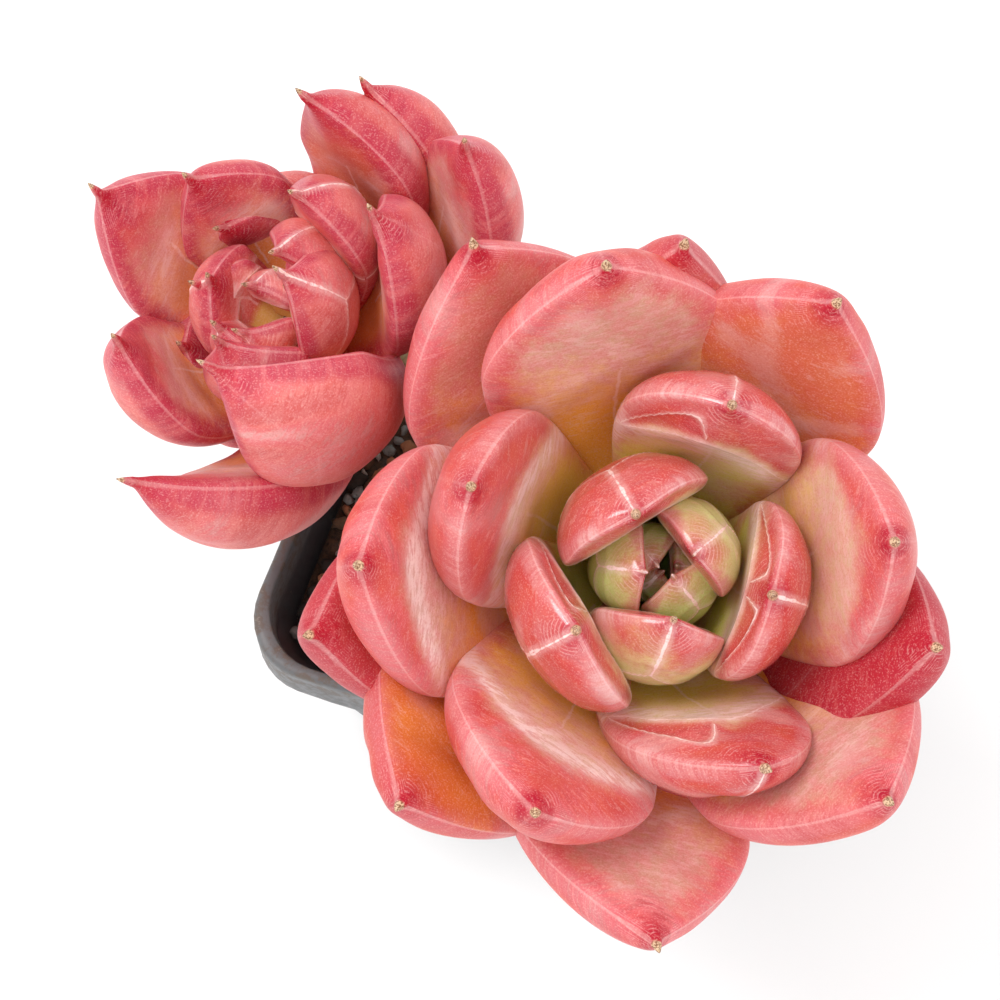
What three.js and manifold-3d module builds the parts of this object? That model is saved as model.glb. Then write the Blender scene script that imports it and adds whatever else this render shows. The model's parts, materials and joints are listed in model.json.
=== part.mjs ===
// A two-headed ratam echeveria in its square nursery pot.
// Millimetres, +Z up. The origin is the centre of the pot's underside.

import * as THREE from "three";
import { mergeVertices } from "three/addons/utils/BufferGeometryUtils.js";
import Module from "manifold-3d";

const wasm = await Module();
wasm.setup();

// Driving dimensions: the pot
const RIM_SIDE = 60;
const BASE_SIDE = 44;
const POT_HEIGHT = 55;
const CORNER_RADIUS = 8;
const WALL = 1.2;
const FLOOR = 1.6;
const BAND_HEIGHT = 11;
const BAND_STEP = 0.9;
const BASE_CHAMFER = 0.8;
const LIP_ROUNDING = 0.4;
const POT_TURN = -20;
const CORNER_SIDES = 5;
const DRAIN_RADIUS = 2.6;
const DRAIN_OFFSET = 12;

// Driving dimensions: the potting mix
const FIT = 0.3;
const MIX_BELOW_RIM = 7;
const MIX_MOUND = 2.4;
const MIX_ROUGHNESS = 0.45;
const MIX_RINGS = 7;

// Driving dimensions: the stem, a short trunk that forks under the two heads
const TRUNK = { x: -2, y: 1, radius: 4.2, depth: 15, fork: 53 };
const BRANCH_RADIUS = 3.9;

// Driving dimensions: the leaves of both heads
const GOLDEN_ANGLE = 137.5;
const WIDEST_AT = 0.6;
const CREST_AT = 0.64;
const CREST_FROM = 0.2;
const THICKEST_AT = 0.5;
const ROOT_THICKNESS = 0.62;
const CURL_FROM = 0.05;
const CURL_OVER = 0.8;
const LAST_BLADE_RING = 0.97;
const MIDRIB_STEPS = 60;

// Each head has its growing point at apex and grows along axis. Leaf 0 is the youngest.
// Nudges set single leaves apart from the rule, as on a grown plant. Turn goes about the axis, lift
// raises the root and curl bends the leaf inward, all in degrees. Stretch lengthens the leaf and
// bow carries its tip sideways, in millimetres. Width scales its breadth, and crestLine says how far
// along the leaf its ridge lies.
const MAIN = {
  apex: [10.3, -17.4, 88.5],
  axis: [0.105, -0.243, 0.973],
  firstAzimuth: 0.5,
  leaves: 28,
  rootRadius: [1, 0.12],
  rootDrop: [2.5, 0.62],
  core: { top: 1.5, bottom: 24, radius: 5.2 },
  nudges: {
    2: { turn: 50, curl: 6, bow: -1 },
    3: { stretch: 1, curl: 14, bow: 1 },
    4: { turn: 6, curl: 2, bow: -1, width: 0.9 },
    5: { turn: 4, lift: 8, curl: 4, width: 0.95 },
    6: { turn: 1, lift: -9, curl: 18, stretch: 2 },
    7: { turn: 3, lift: 2, bow: -2, width: 1.14 },
    8: { turn: 4, bow: 1, width: 1.14 },
    9: { turn: 8, lift: -5, width: 1.1 },
    10: { turn: 6, lift: -5, bow: -1 },
    11: { turn: -12, lift: -10, bow: -5, width: 0.95 },
    12: { turn: 9, lift: -8, bow: -1, width: 0.94, crestLine: 0.6 },
    13: { turn: -8, lift: 4 },
    14: { lift: -8, bow: -1 },
    15: { turn: 5, lift: -4, bow: -2, width: 1.06 },
    16: { turn: -12, stretch: 1 },
    17: { turn: -2, lift: -3 },
    18: { turn: 15, lift: 6 },
    19: { turn: -8, lift: -6, bow: -4, stretch: 1 },
    20: { turn: -5, lift: -6, bow: 2, width: 1.04 },
    21: { turn: -17, lift: 20, bow: -2, stretch: -1, width: 0.85 },
    22: { turn: 2, lift: 3, bow: -2 },
    23: { turn: 12, lift: 16, width: 0.72 },
    24: { lift: 20, stretch: -12 },
    25: { turn: 28, lift: 10, width: 0.8 },
    26: { lift: 25, stretch: -16 },
    27: { lift: 25, stretch: -14 },
  },
  rule: mainLeaf,
};

const SIDE = {
  apex: [-31.6, 14, 81.9],
  axis: [-0.568, -0.115, 0.815],
  firstAzimuth: 65,
  leaves: 22,
  missing: [19],
  rootRadius: [0.85, 0.15],
  rootDrop: [1.4, 0.6],
  core: { top: 1.2, bottom: 20, radius: 4.6 },
  nudges: {
    3: { stretch: -2, bow: 1, curl: -18 },
    4: { lift: 15, stretch: -4 },
    5: { turn: -50, lift: -5, bow: 4, curl: 10 },
    6: { turn: 32, lift: 4, bow: -2, curl: -8 },
    7: { turn: -15, lift: 20, stretch: -6, bow: 2, curl: 10 },
    8: { lift: -5, stretch: 1, bow: 3 },
    9: { lift: 30, stretch: -5, bow: -3, curl: -16 },
    10: { turn: -15, lift: 4, stretch: -2, bow: 4, curl: 6 },
    11: { turn: 14, lift: -8, bow: -3, curl: -8 },
    12: { turn: -5, lift: 12, stretch: 1, bow: -1, curl: 18 },
    13: { turn: -20, lift: -10, stretch: 1, bow: 1, curl: 4 },
    14: { turn: 5, lift: 10, stretch: 2, curl: 16 },
    15: { turn: -12, lift: 20, stretch: -2, bow: 5, curl: -6, width: 0.9 },
    16: { turn: 6, lift: -14, stretch: -2, bow: 4, curl: -12, width: 0.9 },
    17: { turn: 17, lift: 15, stretch: -2, bow: 3, curl: -10, width: 0.85 },
    18: { lift: 22, stretch: -18 },
    20: { lift: 22, stretch: -18 },
    21: { lift: 4, stretch: -7, bow: 1, curl: -20, width: 0.8 },
  },
  rule: sideLeaf,
};

function clamp01(value) {
  return Math.min(1, Math.max(0, value));
}

function ease(value) {
  const v = clamp01(value);
  return v * v * (3 - 2 * v);
}

// The leaf rules: young leaves are short and upright, old ones long and open

function mainLeaf(index) {
  const grown = clamp01((index - 1) / 14) ** 0.9;
  const open = clamp01((index - 1) / 24);
  const blunt = 1 - ease((index - 8) / 6);
  const ridged = 0.4 + 0.6 * ease((index - 4) / 2);
  return {
    length: 8 + 36 * grown,
    halfWidth: 2.8 + 10.3 * grown,
    above: 0.6 + 0.8 * grown,
    below: 2.2 + 4.6 * grown,
    start: 72 - 66 * open ** 0.8,
    curl: index < 9 ? 33 + 19 * clamp01((index - 1) / 8) : 54 - 14 * open,
    cup: 0.1 + 0.12 * (1 - ease((index - 7) / 3)),
    base: 0.42 + 0.16 * open,
    crest: (0.6 + 1.6 * grown) * ridged - 1.2 * Math.max(0, open - 0.5),
    crestLine: CREST_AT + 0.18 * blunt,
    shoulder: 2.1 - 0.4 * open + 1.2 * blunt,
    taper: 0.8 + 0.4 * open - 0.2 * blunt,
    endTaper: 0.62,
    mucro: 1.5,
    mucroRadius: 0.35 + 0.2 * ease((index - 4) / 3),
  };
}

function sideLeaf(index) {
  const length = 7 + 33 * clamp01(index / 17) ** 0.9;
  const open = clamp01(index / 21);
  return {
    length,
    halfWidth: 2 + 0.21 * length,
    above: 0.5 + 0.02 * length,
    below: 1.4 + 0.12 * length,
    start: 55 - 60 * open ** 0.8,
    curl: 40 + 50 * open,
    cup: 0.14,
    base: 0.58,
    crest: 0.3 + 0.03 * length,
    crestLine: CREST_AT,
    shoulder: 1.45,
    taper: 1.2,
    endTaper: 1.1,
    mucro: 2,
    mucroRadius: 0.5,
  };
}

// The midrib as points out from the axis and up along it, with the angle at each
function midrib(leaf) {
  const end = 1 + leaf.mucro / leaf.length;
  const points = [];
  let out = 0;
  let up = 0;
  const step = end / MIDRIB_STEPS;
  for (let i = 0; i <= MIDRIB_STEPS; i += 1) {
    const t = i * step;
    const degrees = leaf.start + leaf.curl * ease((t - CURL_FROM) / CURL_OVER);
    const angle = THREE.MathUtils.degToRad(degrees);
    points.push({ t, out, up, angle });
    out += Math.cos(angle) * leaf.length * step;
    up += Math.sin(angle) * leaf.length * step;
  }
  return points;
}

function outlineAt(t, leaf) {
  if (t < WIDEST_AT) {
    return leaf.base + (1 - leaf.base) * Math.sin(((t / WIDEST_AT) * Math.PI) / 2) ** 1.3;
  }
  return (1 - clamp01((t - WIDEST_AT) / (1 - WIDEST_AT)) ** leaf.shoulder) ** leaf.taper;
}

function thicknessAt(t, leaf) {
  if (t < THICKEST_AT) return ROOT_THICKNESS + (1 - ROOT_THICKNESS) * ease(t / THICKEST_AT);
  return (1 - clamp01((t - THICKEST_AT) / (1 - THICKEST_AT)) ** 2.6) ** leaf.endTaper;
}

// The ridge that crosses the upper face, where a younger leaf pressed on it in the bud
function crestAt(t, leaf) {
  if (t < leaf.crestLine) return ease((t - CREST_FROM) / (leaf.crestLine - CREST_FROM));
  return clamp01((1 - t) / (1 - leaf.crestLine)) ** 0.9;
}

// One thick leaf: a cylinder whose rings follow the midrib and swell into the blade
function leafSolid(head, index) {
  const leaf = head.rule(index);
  const nudge = head.nudges[index] ?? {};
  const { turn = 0, lift = 0, stretch = 0, bow = 0, curl = 0, width = 1 } = nudge;
  leaf.start += lift;
  leaf.curl += curl;
  leaf.length += stretch;
  leaf.halfWidth *= width;
  leaf.crestLine = nudge.crestLine ?? leaf.crestLine;
  const small = leaf.length < 20;
  const sides = small ? 8 : 10;
  const rings = small ? 7 : 9;
  const end = 1 + leaf.mucro / leaf.length;
  const ringPlaces = [];
  for (let i = 0; i < rings - 2; i += 1) ringPlaces.push((LAST_BLADE_RING * i) / (rings - 3));
  ringPlaces.push(1, end - 0.6 * (end - 1), end);

  const rib = midrib(leaf);
  const rootOut = head.rootRadius[0] + head.rootRadius[1] * index;
  const rootUp = -(head.rootDrop[0] + head.rootDrop[1] * index);
  const blade = bareGeometry(new THREE.CylinderGeometry(1, 1, 1, sides, rings));
  const at = blade.getAttribute("position");
  for (let i = 0; i < at.count; i += 1) {
    const ring = Math.round((at.getY(i) + 0.5) * rings);
    const t = ringPlaces[ring];
    const spot = rib[Math.round((t / end) * (rib.length - 1))];
    const point = Math.min(1, (end - t) / (end - 1));
    const tip = leaf.mucroRadius * point ** 0.8 + 0.05;
    const across = at.getX(i);
    const over = at.getZ(i);
    const halfWidth = Math.hypot(leaf.halfWidth * outlineAt(t, leaf), tip);
    const above = Math.hypot(leaf.above * thicknessAt(t, leaf) + leaf.crest * crestAt(t, leaf), tip);
    const below = Math.hypot(leaf.below * thicknessAt(t, leaf), tip);
    const x = halfWidth * Math.sign(across) * Math.abs(across) ** 0.9;
    const cup = leaf.cup * leaf.halfWidth * ease(t / 0.6) * (1 - ease((t - 0.75) / 0.3));
    const height = (over > 0 ? above : below) * over + cup * (x / leaf.halfWidth) ** 2;
    at.setXYZ(
      i,
      x + bow * t * t,
      rootOut + spot.out - Math.sin(spot.angle) * height,
      rootUp + spot.up + Math.cos(spot.angle) * height,
    );
  }
  const azimuth = head.firstAzimuth - GOLDEN_ANGLE * index + turn;
  blade.rotateZ(THREE.MathUtils.degToRad(azimuth - 90));
  return solidOf(blade);
}

// A head's own frame: Z along its axis, X to the right as seen by someone facing +Y
function headFrame(head) {
  const up = new THREE.Vector3(...head.axis).normalize();
  const right = new THREE.Vector3(1, 0, 0);
  right.addScaledVector(up, -right.dot(up)).normalize();
  const away = new THREE.Vector3().crossVectors(up, right);
  const frame = new THREE.Matrix4().makeBasis(right, away, up);
  return frame.setPosition(new THREE.Vector3(...head.apex));
}

// A rosette: its core with every leaf grown into it
function rosette(head) {
  const { top, bottom, radius } = head.core;
  const profile = [
    [0, -bottom], [radius, -bottom], [radius * 0.95, -bottom * 0.6],
    [radius * 0.5, -bottom * 0.25], [1, -top], [0, -top],
  ];
  const pieces = [solidOf(lathe(profile, 10))];
  for (let index = 0; index < head.leaves; index += 1) {
    if (!(head.missing ?? []).includes(index)) pieces.push(leafSolid(head, index));
  }
  const whole = wasm.Manifold.union(pieces);
  const outer = whole.decompose().sort((a, b) => b.volume() - a.volume())[0];
  return geometryOf(outer).applyMatrix4(headFrame(head));
}

// The pot: a turned profile made square, with rounded corners

function potHalfSide(z) {
  return (BASE_SIDE + ((RIM_SIDE - 2 * BAND_STEP - BASE_SIDE) * z) / POT_HEIGHT) / 2;
}

function squared(geometry, radiusAt) {
  const at = geometry.getAttribute("position");
  const step = Math.PI / 2 / CORNER_SIDES;
  for (let i = 0; i < at.count; i += 1) {
    const reach = Math.hypot(at.getX(i), at.getY(i));
    if (reach < 1e-6) continue;
    const angle = (Math.atan2(at.getY(i), at.getX(i)) + 2 * Math.PI) % (2 * Math.PI);
    const quarter = Math.floor(angle / (Math.PI / 2));
    const middle = ((quarter + 0.5) * Math.PI) / 2;
    const spread = Math.PI / 2 / (Math.PI / 2 - step);
    const swung = middle + (angle - middle) * spread;
    const corner = Math.min(radiusAt(at.getZ(i)), reach * 0.9);
    const inset = reach - corner;
    at.setX(i, Math.sign(Math.cos(middle)) * inset + corner * Math.cos(swung));
    at.setY(i, Math.sign(Math.sin(middle)) * inset + corner * Math.sin(swung));
  }
  return geometry;
}

function cornerAt(z) {
  return CORNER_RADIUS * (0.7 + (0.3 * z) / POT_HEIGHT);
}

function makePot() {
  const bandFoot = POT_HEIGHT - BAND_HEIGHT;
  const outer = [
    [potHalfSide(0) - BASE_CHAMFER, 0],
    [potHalfSide(BASE_CHAMFER), BASE_CHAMFER],
    [potHalfSide(bandFoot), bandFoot],
    [RIM_SIDE / 2 - LIP_ROUNDING, bandFoot + BAND_STEP],
    [RIM_SIDE / 2, POT_HEIGHT - LIP_ROUNDING],
    [RIM_SIDE / 2 - LIP_ROUNDING, POT_HEIGHT],
  ];
  const inner = [
    [RIM_SIDE / 2 - WALL - 0.2, POT_HEIGHT],
    [RIM_SIDE / 2 - WALL - 0.5, bandFoot + 2 * WALL],
    [potHalfSide(bandFoot) - WALL, bandFoot],
    [potHalfSide(FLOOR) - WALL - FIT, FLOOR],
  ];
  const body = squared(lathe([[0, 0], ...outer, ...inner, [0, FLOOR]], 4 * CORNER_SIDES), cornerAt);
  let pot = solidOf(body);
  for (const [x, y] of [[1, 1], [-1, 1], [-1, -1], [1, -1]]) {
    const drain = new THREE.CylinderGeometry(DRAIN_RADIUS, DRAIN_RADIUS, 4 * FLOOR, 12);
    drain.rotateX(Math.PI / 2).translate(x * DRAIN_OFFSET, y * DRAIN_OFFSET, 0);
    pot = pot.subtract(solidOf(bareGeometry(drain)));
  }
  return geometryOf(pot);
}

// The potting mix: it fills the pot, with a low lumpy mound and a hole where the trunk stands
function makePottingMix() {
  const top = POT_HEIGHT - MIX_BELOW_RIM;
  const bandFoot = POT_HEIGHT - BAND_HEIGHT;
  const floor = FLOOR + FIT;
  const wallAt = (z) => potHalfSide(z) - WALL - 2 * FIT;
  const profile = [[0, floor], [wallAt(floor) - 0.4, floor], [wallAt(bandFoot), bandFoot - FIT]];
  for (let ring = 0; ring < MIX_RINGS; ring += 1) {
    profile.push([wallAt(bandFoot) * (1 - ring / MIX_RINGS), top + (ring === 0 ? -1 : 0)]);
  }
  profile.push([0, top]);
  const mix = squared(lathe(profile, 4 * CORNER_SIDES), (z) => cornerAt(z) - WALL);
  mix.rotateZ(THREE.MathUtils.degToRad(POT_TURN));
  const at = mix.getAttribute("position");
  for (let i = 0; i < at.count; i += 1) {
    if (at.getZ(i) < top - 0.1) continue;
    const x = at.getX(i);
    const y = at.getY(i);
    const mound = MIX_MOUND * (1 - ease(Math.hypot(x, y) / (RIM_SIDE / 2)));
    const lumps = Math.sin(x * 0.9 + 1) * Math.cos(y * 0.8) + Math.sin(x * 0.37 - y * 0.61);
    at.setZ(i, top + mound + MIX_ROUGHNESS * lumps);
  }
  const hole = new THREE.CylinderGeometry(TRUNK.radius + FIT, TRUNK.radius + FIT, 40, 16);
  hole.rotateX(Math.PI / 2).translate(TRUNK.x, TRUNK.y, trunkFoot() - FIT + 20);
  return geometryOf(solidOf(mix).subtract(solidOf(bareGeometry(hole))));
}

// The stem: two limbs that share the trunk, each ending square under its head's core

function trunkFoot() {
  return POT_HEIGHT - MIX_BELOW_RIM - TRUNK.depth;
}

function underside(head) {
  const axis = new THREE.Vector3(...head.axis).normalize();
  const seat = new THREE.Vector3(...head.apex).addScaledVector(axis, -head.core.bottom - FIT);
  return { axis, seat };
}

function limb(head, sides = 10, rings = 12) {
  const { axis, seat } = underside(head);
  const foot = new THREE.Vector3(TRUNK.x, TRUNK.y, trunkFoot());
  const fork = new THREE.Vector3(TRUNK.x, TRUNK.y, TRUNK.fork);
  const rise = fork.clone().setZ(TRUNK.fork + 6);
  const neck = seat.clone().addScaledVector(axis, -6);
  const path = new THREE.CurvePath();
  path.add(new THREE.LineCurve3(foot, fork));
  path.add(new THREE.CubicBezierCurve3(fork, rise, neck, seat));
  const rod = bareGeometry(new THREE.CylinderGeometry(1, 1, 1, sides, rings));
  const at = rod.getAttribute("position");
  for (let i = 0; i < at.count; i += 1) {
    const t = at.getY(i) + 0.5;
    const centre = path.getPointAt(t);
    const along = t > 0.999 ? axis : path.getTangentAt(t);
    const right = new THREE.Vector3(1, 0, 0).addScaledVector(along, -along.x).normalize();
    const away = new THREE.Vector3().crossVectors(along, right);
    const knots = 0.25 * Math.sin(t * 34);
    const radius = centre.z < TRUNK.fork ? TRUNK.radius : BRANCH_RADIUS + knots;
    centre.addScaledVector(right, at.getX(i) * radius).addScaledVector(away, at.getZ(i) * -radius);
    at.setXYZ(i, centre.x, centre.y, centre.z);
  }
  return solidOf(rod);
}

function makeStem() {
  return geometryOf(limb(MAIN).add(limb(SIDE)));
}

// Helpers between three.js geometry and solids

function lathe(profile, segments) {
  const points = profile.map(([radius, z]) => new THREE.Vector2(radius, z));
  const halfStep = Math.PI / segments;
  const turned = new THREE.LatheGeometry(points, segments, halfStep);
  return bareGeometry(turned.rotateX(Math.PI / 2));
}

function bareGeometry(geometry) {
  geometry.deleteAttribute("normal");
  geometry.deleteAttribute("uv");
  return mergeVertices(geometry, 1e-5);
}

function solidOf(geometry) {
  const triVerts = [];
  const index = geometry.index.array;
  for (let i = 0; i < index.length; i += 3) {
    const [a, b, c] = [index[i], index[i + 1], index[i + 2]];
    if (a !== b && b !== c && c !== a) triVerts.push(a, b, c);
  }
  const mesh = new wasm.Mesh({
    numProp: 3,
    vertProperties: new Float32Array(geometry.getAttribute("position").array),
    triVerts: new Uint32Array(triVerts),
  });
  return new wasm.Manifold(mesh);
}

function geometryOf(solid) {
  const mesh = solid.getMesh();
  const geometry = new THREE.BufferGeometry();
  geometry.setAttribute("position", new THREE.BufferAttribute(mesh.vertProperties, 3));
  geometry.setIndex(new THREE.BufferAttribute(mesh.triVerts, 1));
  return geometry;
}

function named(name, geometry, color, roughness) {
  const material = new THREE.MeshStandardMaterial({ color, roughness, metalness: 0 });
  const mesh = new THREE.Mesh(geometry, material);
  mesh.name = name;
  return mesh;
}

const container = new THREE.Group();
container.rotation.z = THREE.MathUtils.degToRad(POT_TURN);
container.add(named("pot", makePot(), 0x6b6e6d, 0.55));

const group = new THREE.Group();
group.add(container);
group.add(named("potting_mix", makePottingMix(), 0x3a332e, 0.95));
group.add(named("stem", makeStem(), 0x8a7a5c, 0.85));
group.add(named("main_rosette", rosette(MAIN), 0xe0656a, 0.4));
group.add(named("side_rosette", rosette(SIDE), 0xdd5468, 0.4));

export default group;
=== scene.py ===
# The looks of a two-headed ratam echeveria in its square nursery pot.
# Rules for shapes work in millimetres; meshes are in metres, in the frame of the packed solids.

import json
import math
import random
from types import SimpleNamespace

import bmesh
import bpy
import numpy as np
from bpy.props import FloatProperty, FloatVectorProperty, IntProperty, PointerProperty, StringProperty
from mathutils import Matrix, Vector

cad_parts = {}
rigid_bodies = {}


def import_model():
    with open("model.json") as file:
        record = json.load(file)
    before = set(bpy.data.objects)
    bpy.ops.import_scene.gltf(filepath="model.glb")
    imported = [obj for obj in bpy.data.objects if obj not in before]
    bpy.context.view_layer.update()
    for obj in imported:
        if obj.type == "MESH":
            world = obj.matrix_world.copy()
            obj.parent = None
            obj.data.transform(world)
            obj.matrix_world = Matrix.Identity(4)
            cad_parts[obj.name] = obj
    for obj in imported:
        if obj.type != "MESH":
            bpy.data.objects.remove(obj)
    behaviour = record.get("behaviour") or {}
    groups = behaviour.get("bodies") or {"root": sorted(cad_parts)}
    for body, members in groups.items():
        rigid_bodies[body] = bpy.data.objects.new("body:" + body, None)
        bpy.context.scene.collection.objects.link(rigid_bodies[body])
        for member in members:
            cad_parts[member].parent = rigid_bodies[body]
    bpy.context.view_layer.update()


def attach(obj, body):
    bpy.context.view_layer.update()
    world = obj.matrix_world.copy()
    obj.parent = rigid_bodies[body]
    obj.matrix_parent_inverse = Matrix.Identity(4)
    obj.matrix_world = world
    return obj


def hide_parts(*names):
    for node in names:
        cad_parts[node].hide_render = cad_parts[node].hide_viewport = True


bl_info = {
    "name": "Potted Ratam Echeveria",
    "version": (1, 0, 0),
    "blender": (4, 5, 0),
    "location": "3D View > Sidebar > Echeveria",
    "description": "Builds a two-headed echeveria in its nursery pot round its packed solids",
    "category": "Add Mesh",
}

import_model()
MM = 0.001

# Leaves. Places along a leaf, called t, run from 0 at its root to 1 at the foot of its hard point.
GOLDEN_ANGLE = 137.5
WIDEST_AT = 0.6
CREST_AT = 0.64
CREST_FROM = 0.2
CREST_BEND = 0.2
CREST_ROUNDING = (-0.05, -0.025, 0, 0.025, 0.05)
THICKEST_AT = 0.5
ROOT_THICKNESS = 0.62
CURL_FROM = 0.05
CURL_OVER = 0.8
MIDRIB_STEPS = 200
POINT_RINGS = 7
KEEL_SPREAD = 4.6
FACET_DEPTH = 0.16
BOTH_SIDES = 2
LUMP_RELIEF = 0.012
CREASE_RELIEF = 0.14
CREASE_WIDTH = 0.3
FACET_RELIEF = 0.2
FIRST_LEAF_SEED = 100

# The red margin is this much narrower on the back. Leaves shorter than SHORT_LEAF carry marks that
# are smaller to match, and no mark shows as far off as FAR.
BACK_MARGIN = 2.2
SHORT_LEAF = 28.0
FAR = 99

# Pot, potting mix and stem
POT_HEIGHT = 55.0
RIM_SIDE = 60.0
BASE_SIDE = 44.0
LIP = 0.4
CORNER_POINTS = 9
SIDE_POINTS = 10
DRAIN_OFFSET = 12.0
DRAIN_SIDES = 32
DRILL_HEIGHTS = (-3.0, 4.0)
SHARP_EDGE = math.radians(40)
FIT = 0.3
MIX_EDGE_RINGS = 24
GRAIN_FIELD_POINTS = 56
GRAIN_DENSITY = 900000.0
GRAIN_FLATNESS = (0.75, 0.55, 0.9, 0.4)
GRAIN_SHAPE_SEED = 11
GRAINS_FROM_WALL = 1.6
GRAINS_FROM_TRUNK = 1.2
GRAIN_FIELD_CORNER = 5.0
TRUNK = SimpleNamespace(x=-2.0, y=1.0, radius=4.2, depth=15.0, fork=53.0)
MIX_BELOW_RIM = 7.0
BRANCH_RADIUS = 3.9
BRANCH_STEPS = 12
BRANCH_RISE = 6.0
STEM_SIDES = 32
STEM_ROUGHNESS = 0.6
SCAR_SPACING = 1.1
SCAR_SIDES = 12

# Camera and lamps
CAMERA_TARGET = Vector((-6.5, -8.7, 85.0)) * MM
SENSOR_WIDTH = 36.0
KEY_LAMP = SimpleNamespace(location=(-0.3, 0.1, 0.75), side=0.24)
FILL_LAMP = SimpleNamespace(location=(0.55, -0.45, 0.45), side=0.6)


def clamp(value):
    """The value, or the nearer of 0 and 1 where it lies outside them."""
    return np.clip(value, 0.0, 1.0)


def rise(value, start, span):
    """A smooth step from 0 to 1 that begins at start. A negative span makes it rise backwards."""
    share = clamp((value - start) / span)
    return share * share * (3 - 2 * share)


def ridge_of(distance, width):
    """A rounded ridge: 1 on the line and falling off over its width."""
    return np.exp(-((distance / width) ** 2))


# The leaves


def main_leaf(index):
    """The shape of a leaf of the main head. Young leaves are short and upright, old ones open."""
    grown = clamp((index - 1) / 14) ** 0.9
    opened = clamp((index - 1) / 24)
    blunt = 1 - rise(index, 8, 6)
    full_crest = (0.6 + 1.6 * grown) * (0.4 + 0.6 * rise(index, 4, 2))
    return SimpleNamespace(
        length=8 + 36 * grown,
        half_width=2.8 + 10.3 * grown,
        above=0.6 + 0.8 * grown,
        below=2.2 + 4.6 * grown,
        start=72 - 66 * opened**0.8,
        curl=33 + 19 * clamp((index - 1) / 8) if index < 9 else 54 - 14 * opened,
        cup=0.1 + 0.12 * (1 - rise(index, 7, 3)),
        base=0.42 + 0.16 * opened,
        crest=full_crest - 1.2 * max(0, opened - 0.5),
        shoulder=2.1 - 0.4 * opened + 1.2 * blunt,
        taper=0.8 + 0.4 * opened - 0.2 * blunt,
        end_taper=0.62,
        point_length=1.5,
        point_radius=0.35 + 0.2 * rise(index, 4, 3),
        crest_line=CREST_AT + 0.18 * blunt,
        keel_fork=0.74,
        young=1 - rise(index, 8, 9),
        tender=1 - rise(index, 3, 5.5),
        faceted=index < 15 or index == 17,
        imprint=1.0 if index < 12 else 0.12,
        husk=rise(index, 4, 3),
        husk_from=0.15,
        flush_margin=0.8 + 1.6 * rise(index, 9, 6),
        flush_tip=3 + 1.5 * rise(index, 4, 10),
        flush_back=0.98 - 0.75 * rise(index, 5, 3.5),
        dust=0.0,
        crest_bloom=0.95 if index < 13 or index in (14, 17) else 0.25,
    )


def side_leaf(index):
    """The shape of a leaf of the side head, whose leaves are narrower and end in a longer point."""
    length = 7 + 33 * clamp(index / 17) ** 0.9
    opened = clamp(index / 21)
    return SimpleNamespace(
        length=length,
        half_width=2 + 0.21 * length,
        above=0.5 + 0.02 * length,
        below=1.4 + 0.12 * length,
        start=55 - 60 * opened**0.8,
        curl=40 + 50 * opened,
        cup=0.14,
        base=0.58,
        crest=0.3 + 0.03 * length,
        shoulder=1.45,
        taper=1.2,
        end_taper=1.1,
        point_length=2,
        point_radius=0.5,
        crest_line=CREST_AT,
        keel_fork=0.66,
        young=0.4 * (1 - rise(index, 1, 6)),
        tender=0.3 * (1 - rise(index, 1, 5)),
        faceted=False,
        imprint=1.0 if index < 9 else 0.12,
        husk=0.9,
        husk_from=0.5,
        flush_margin=1.6,
        flush_tip=9.0,
        flush_back=0.1,
        dust=0.22,
        crest_bloom=0.4,
    )


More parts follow.
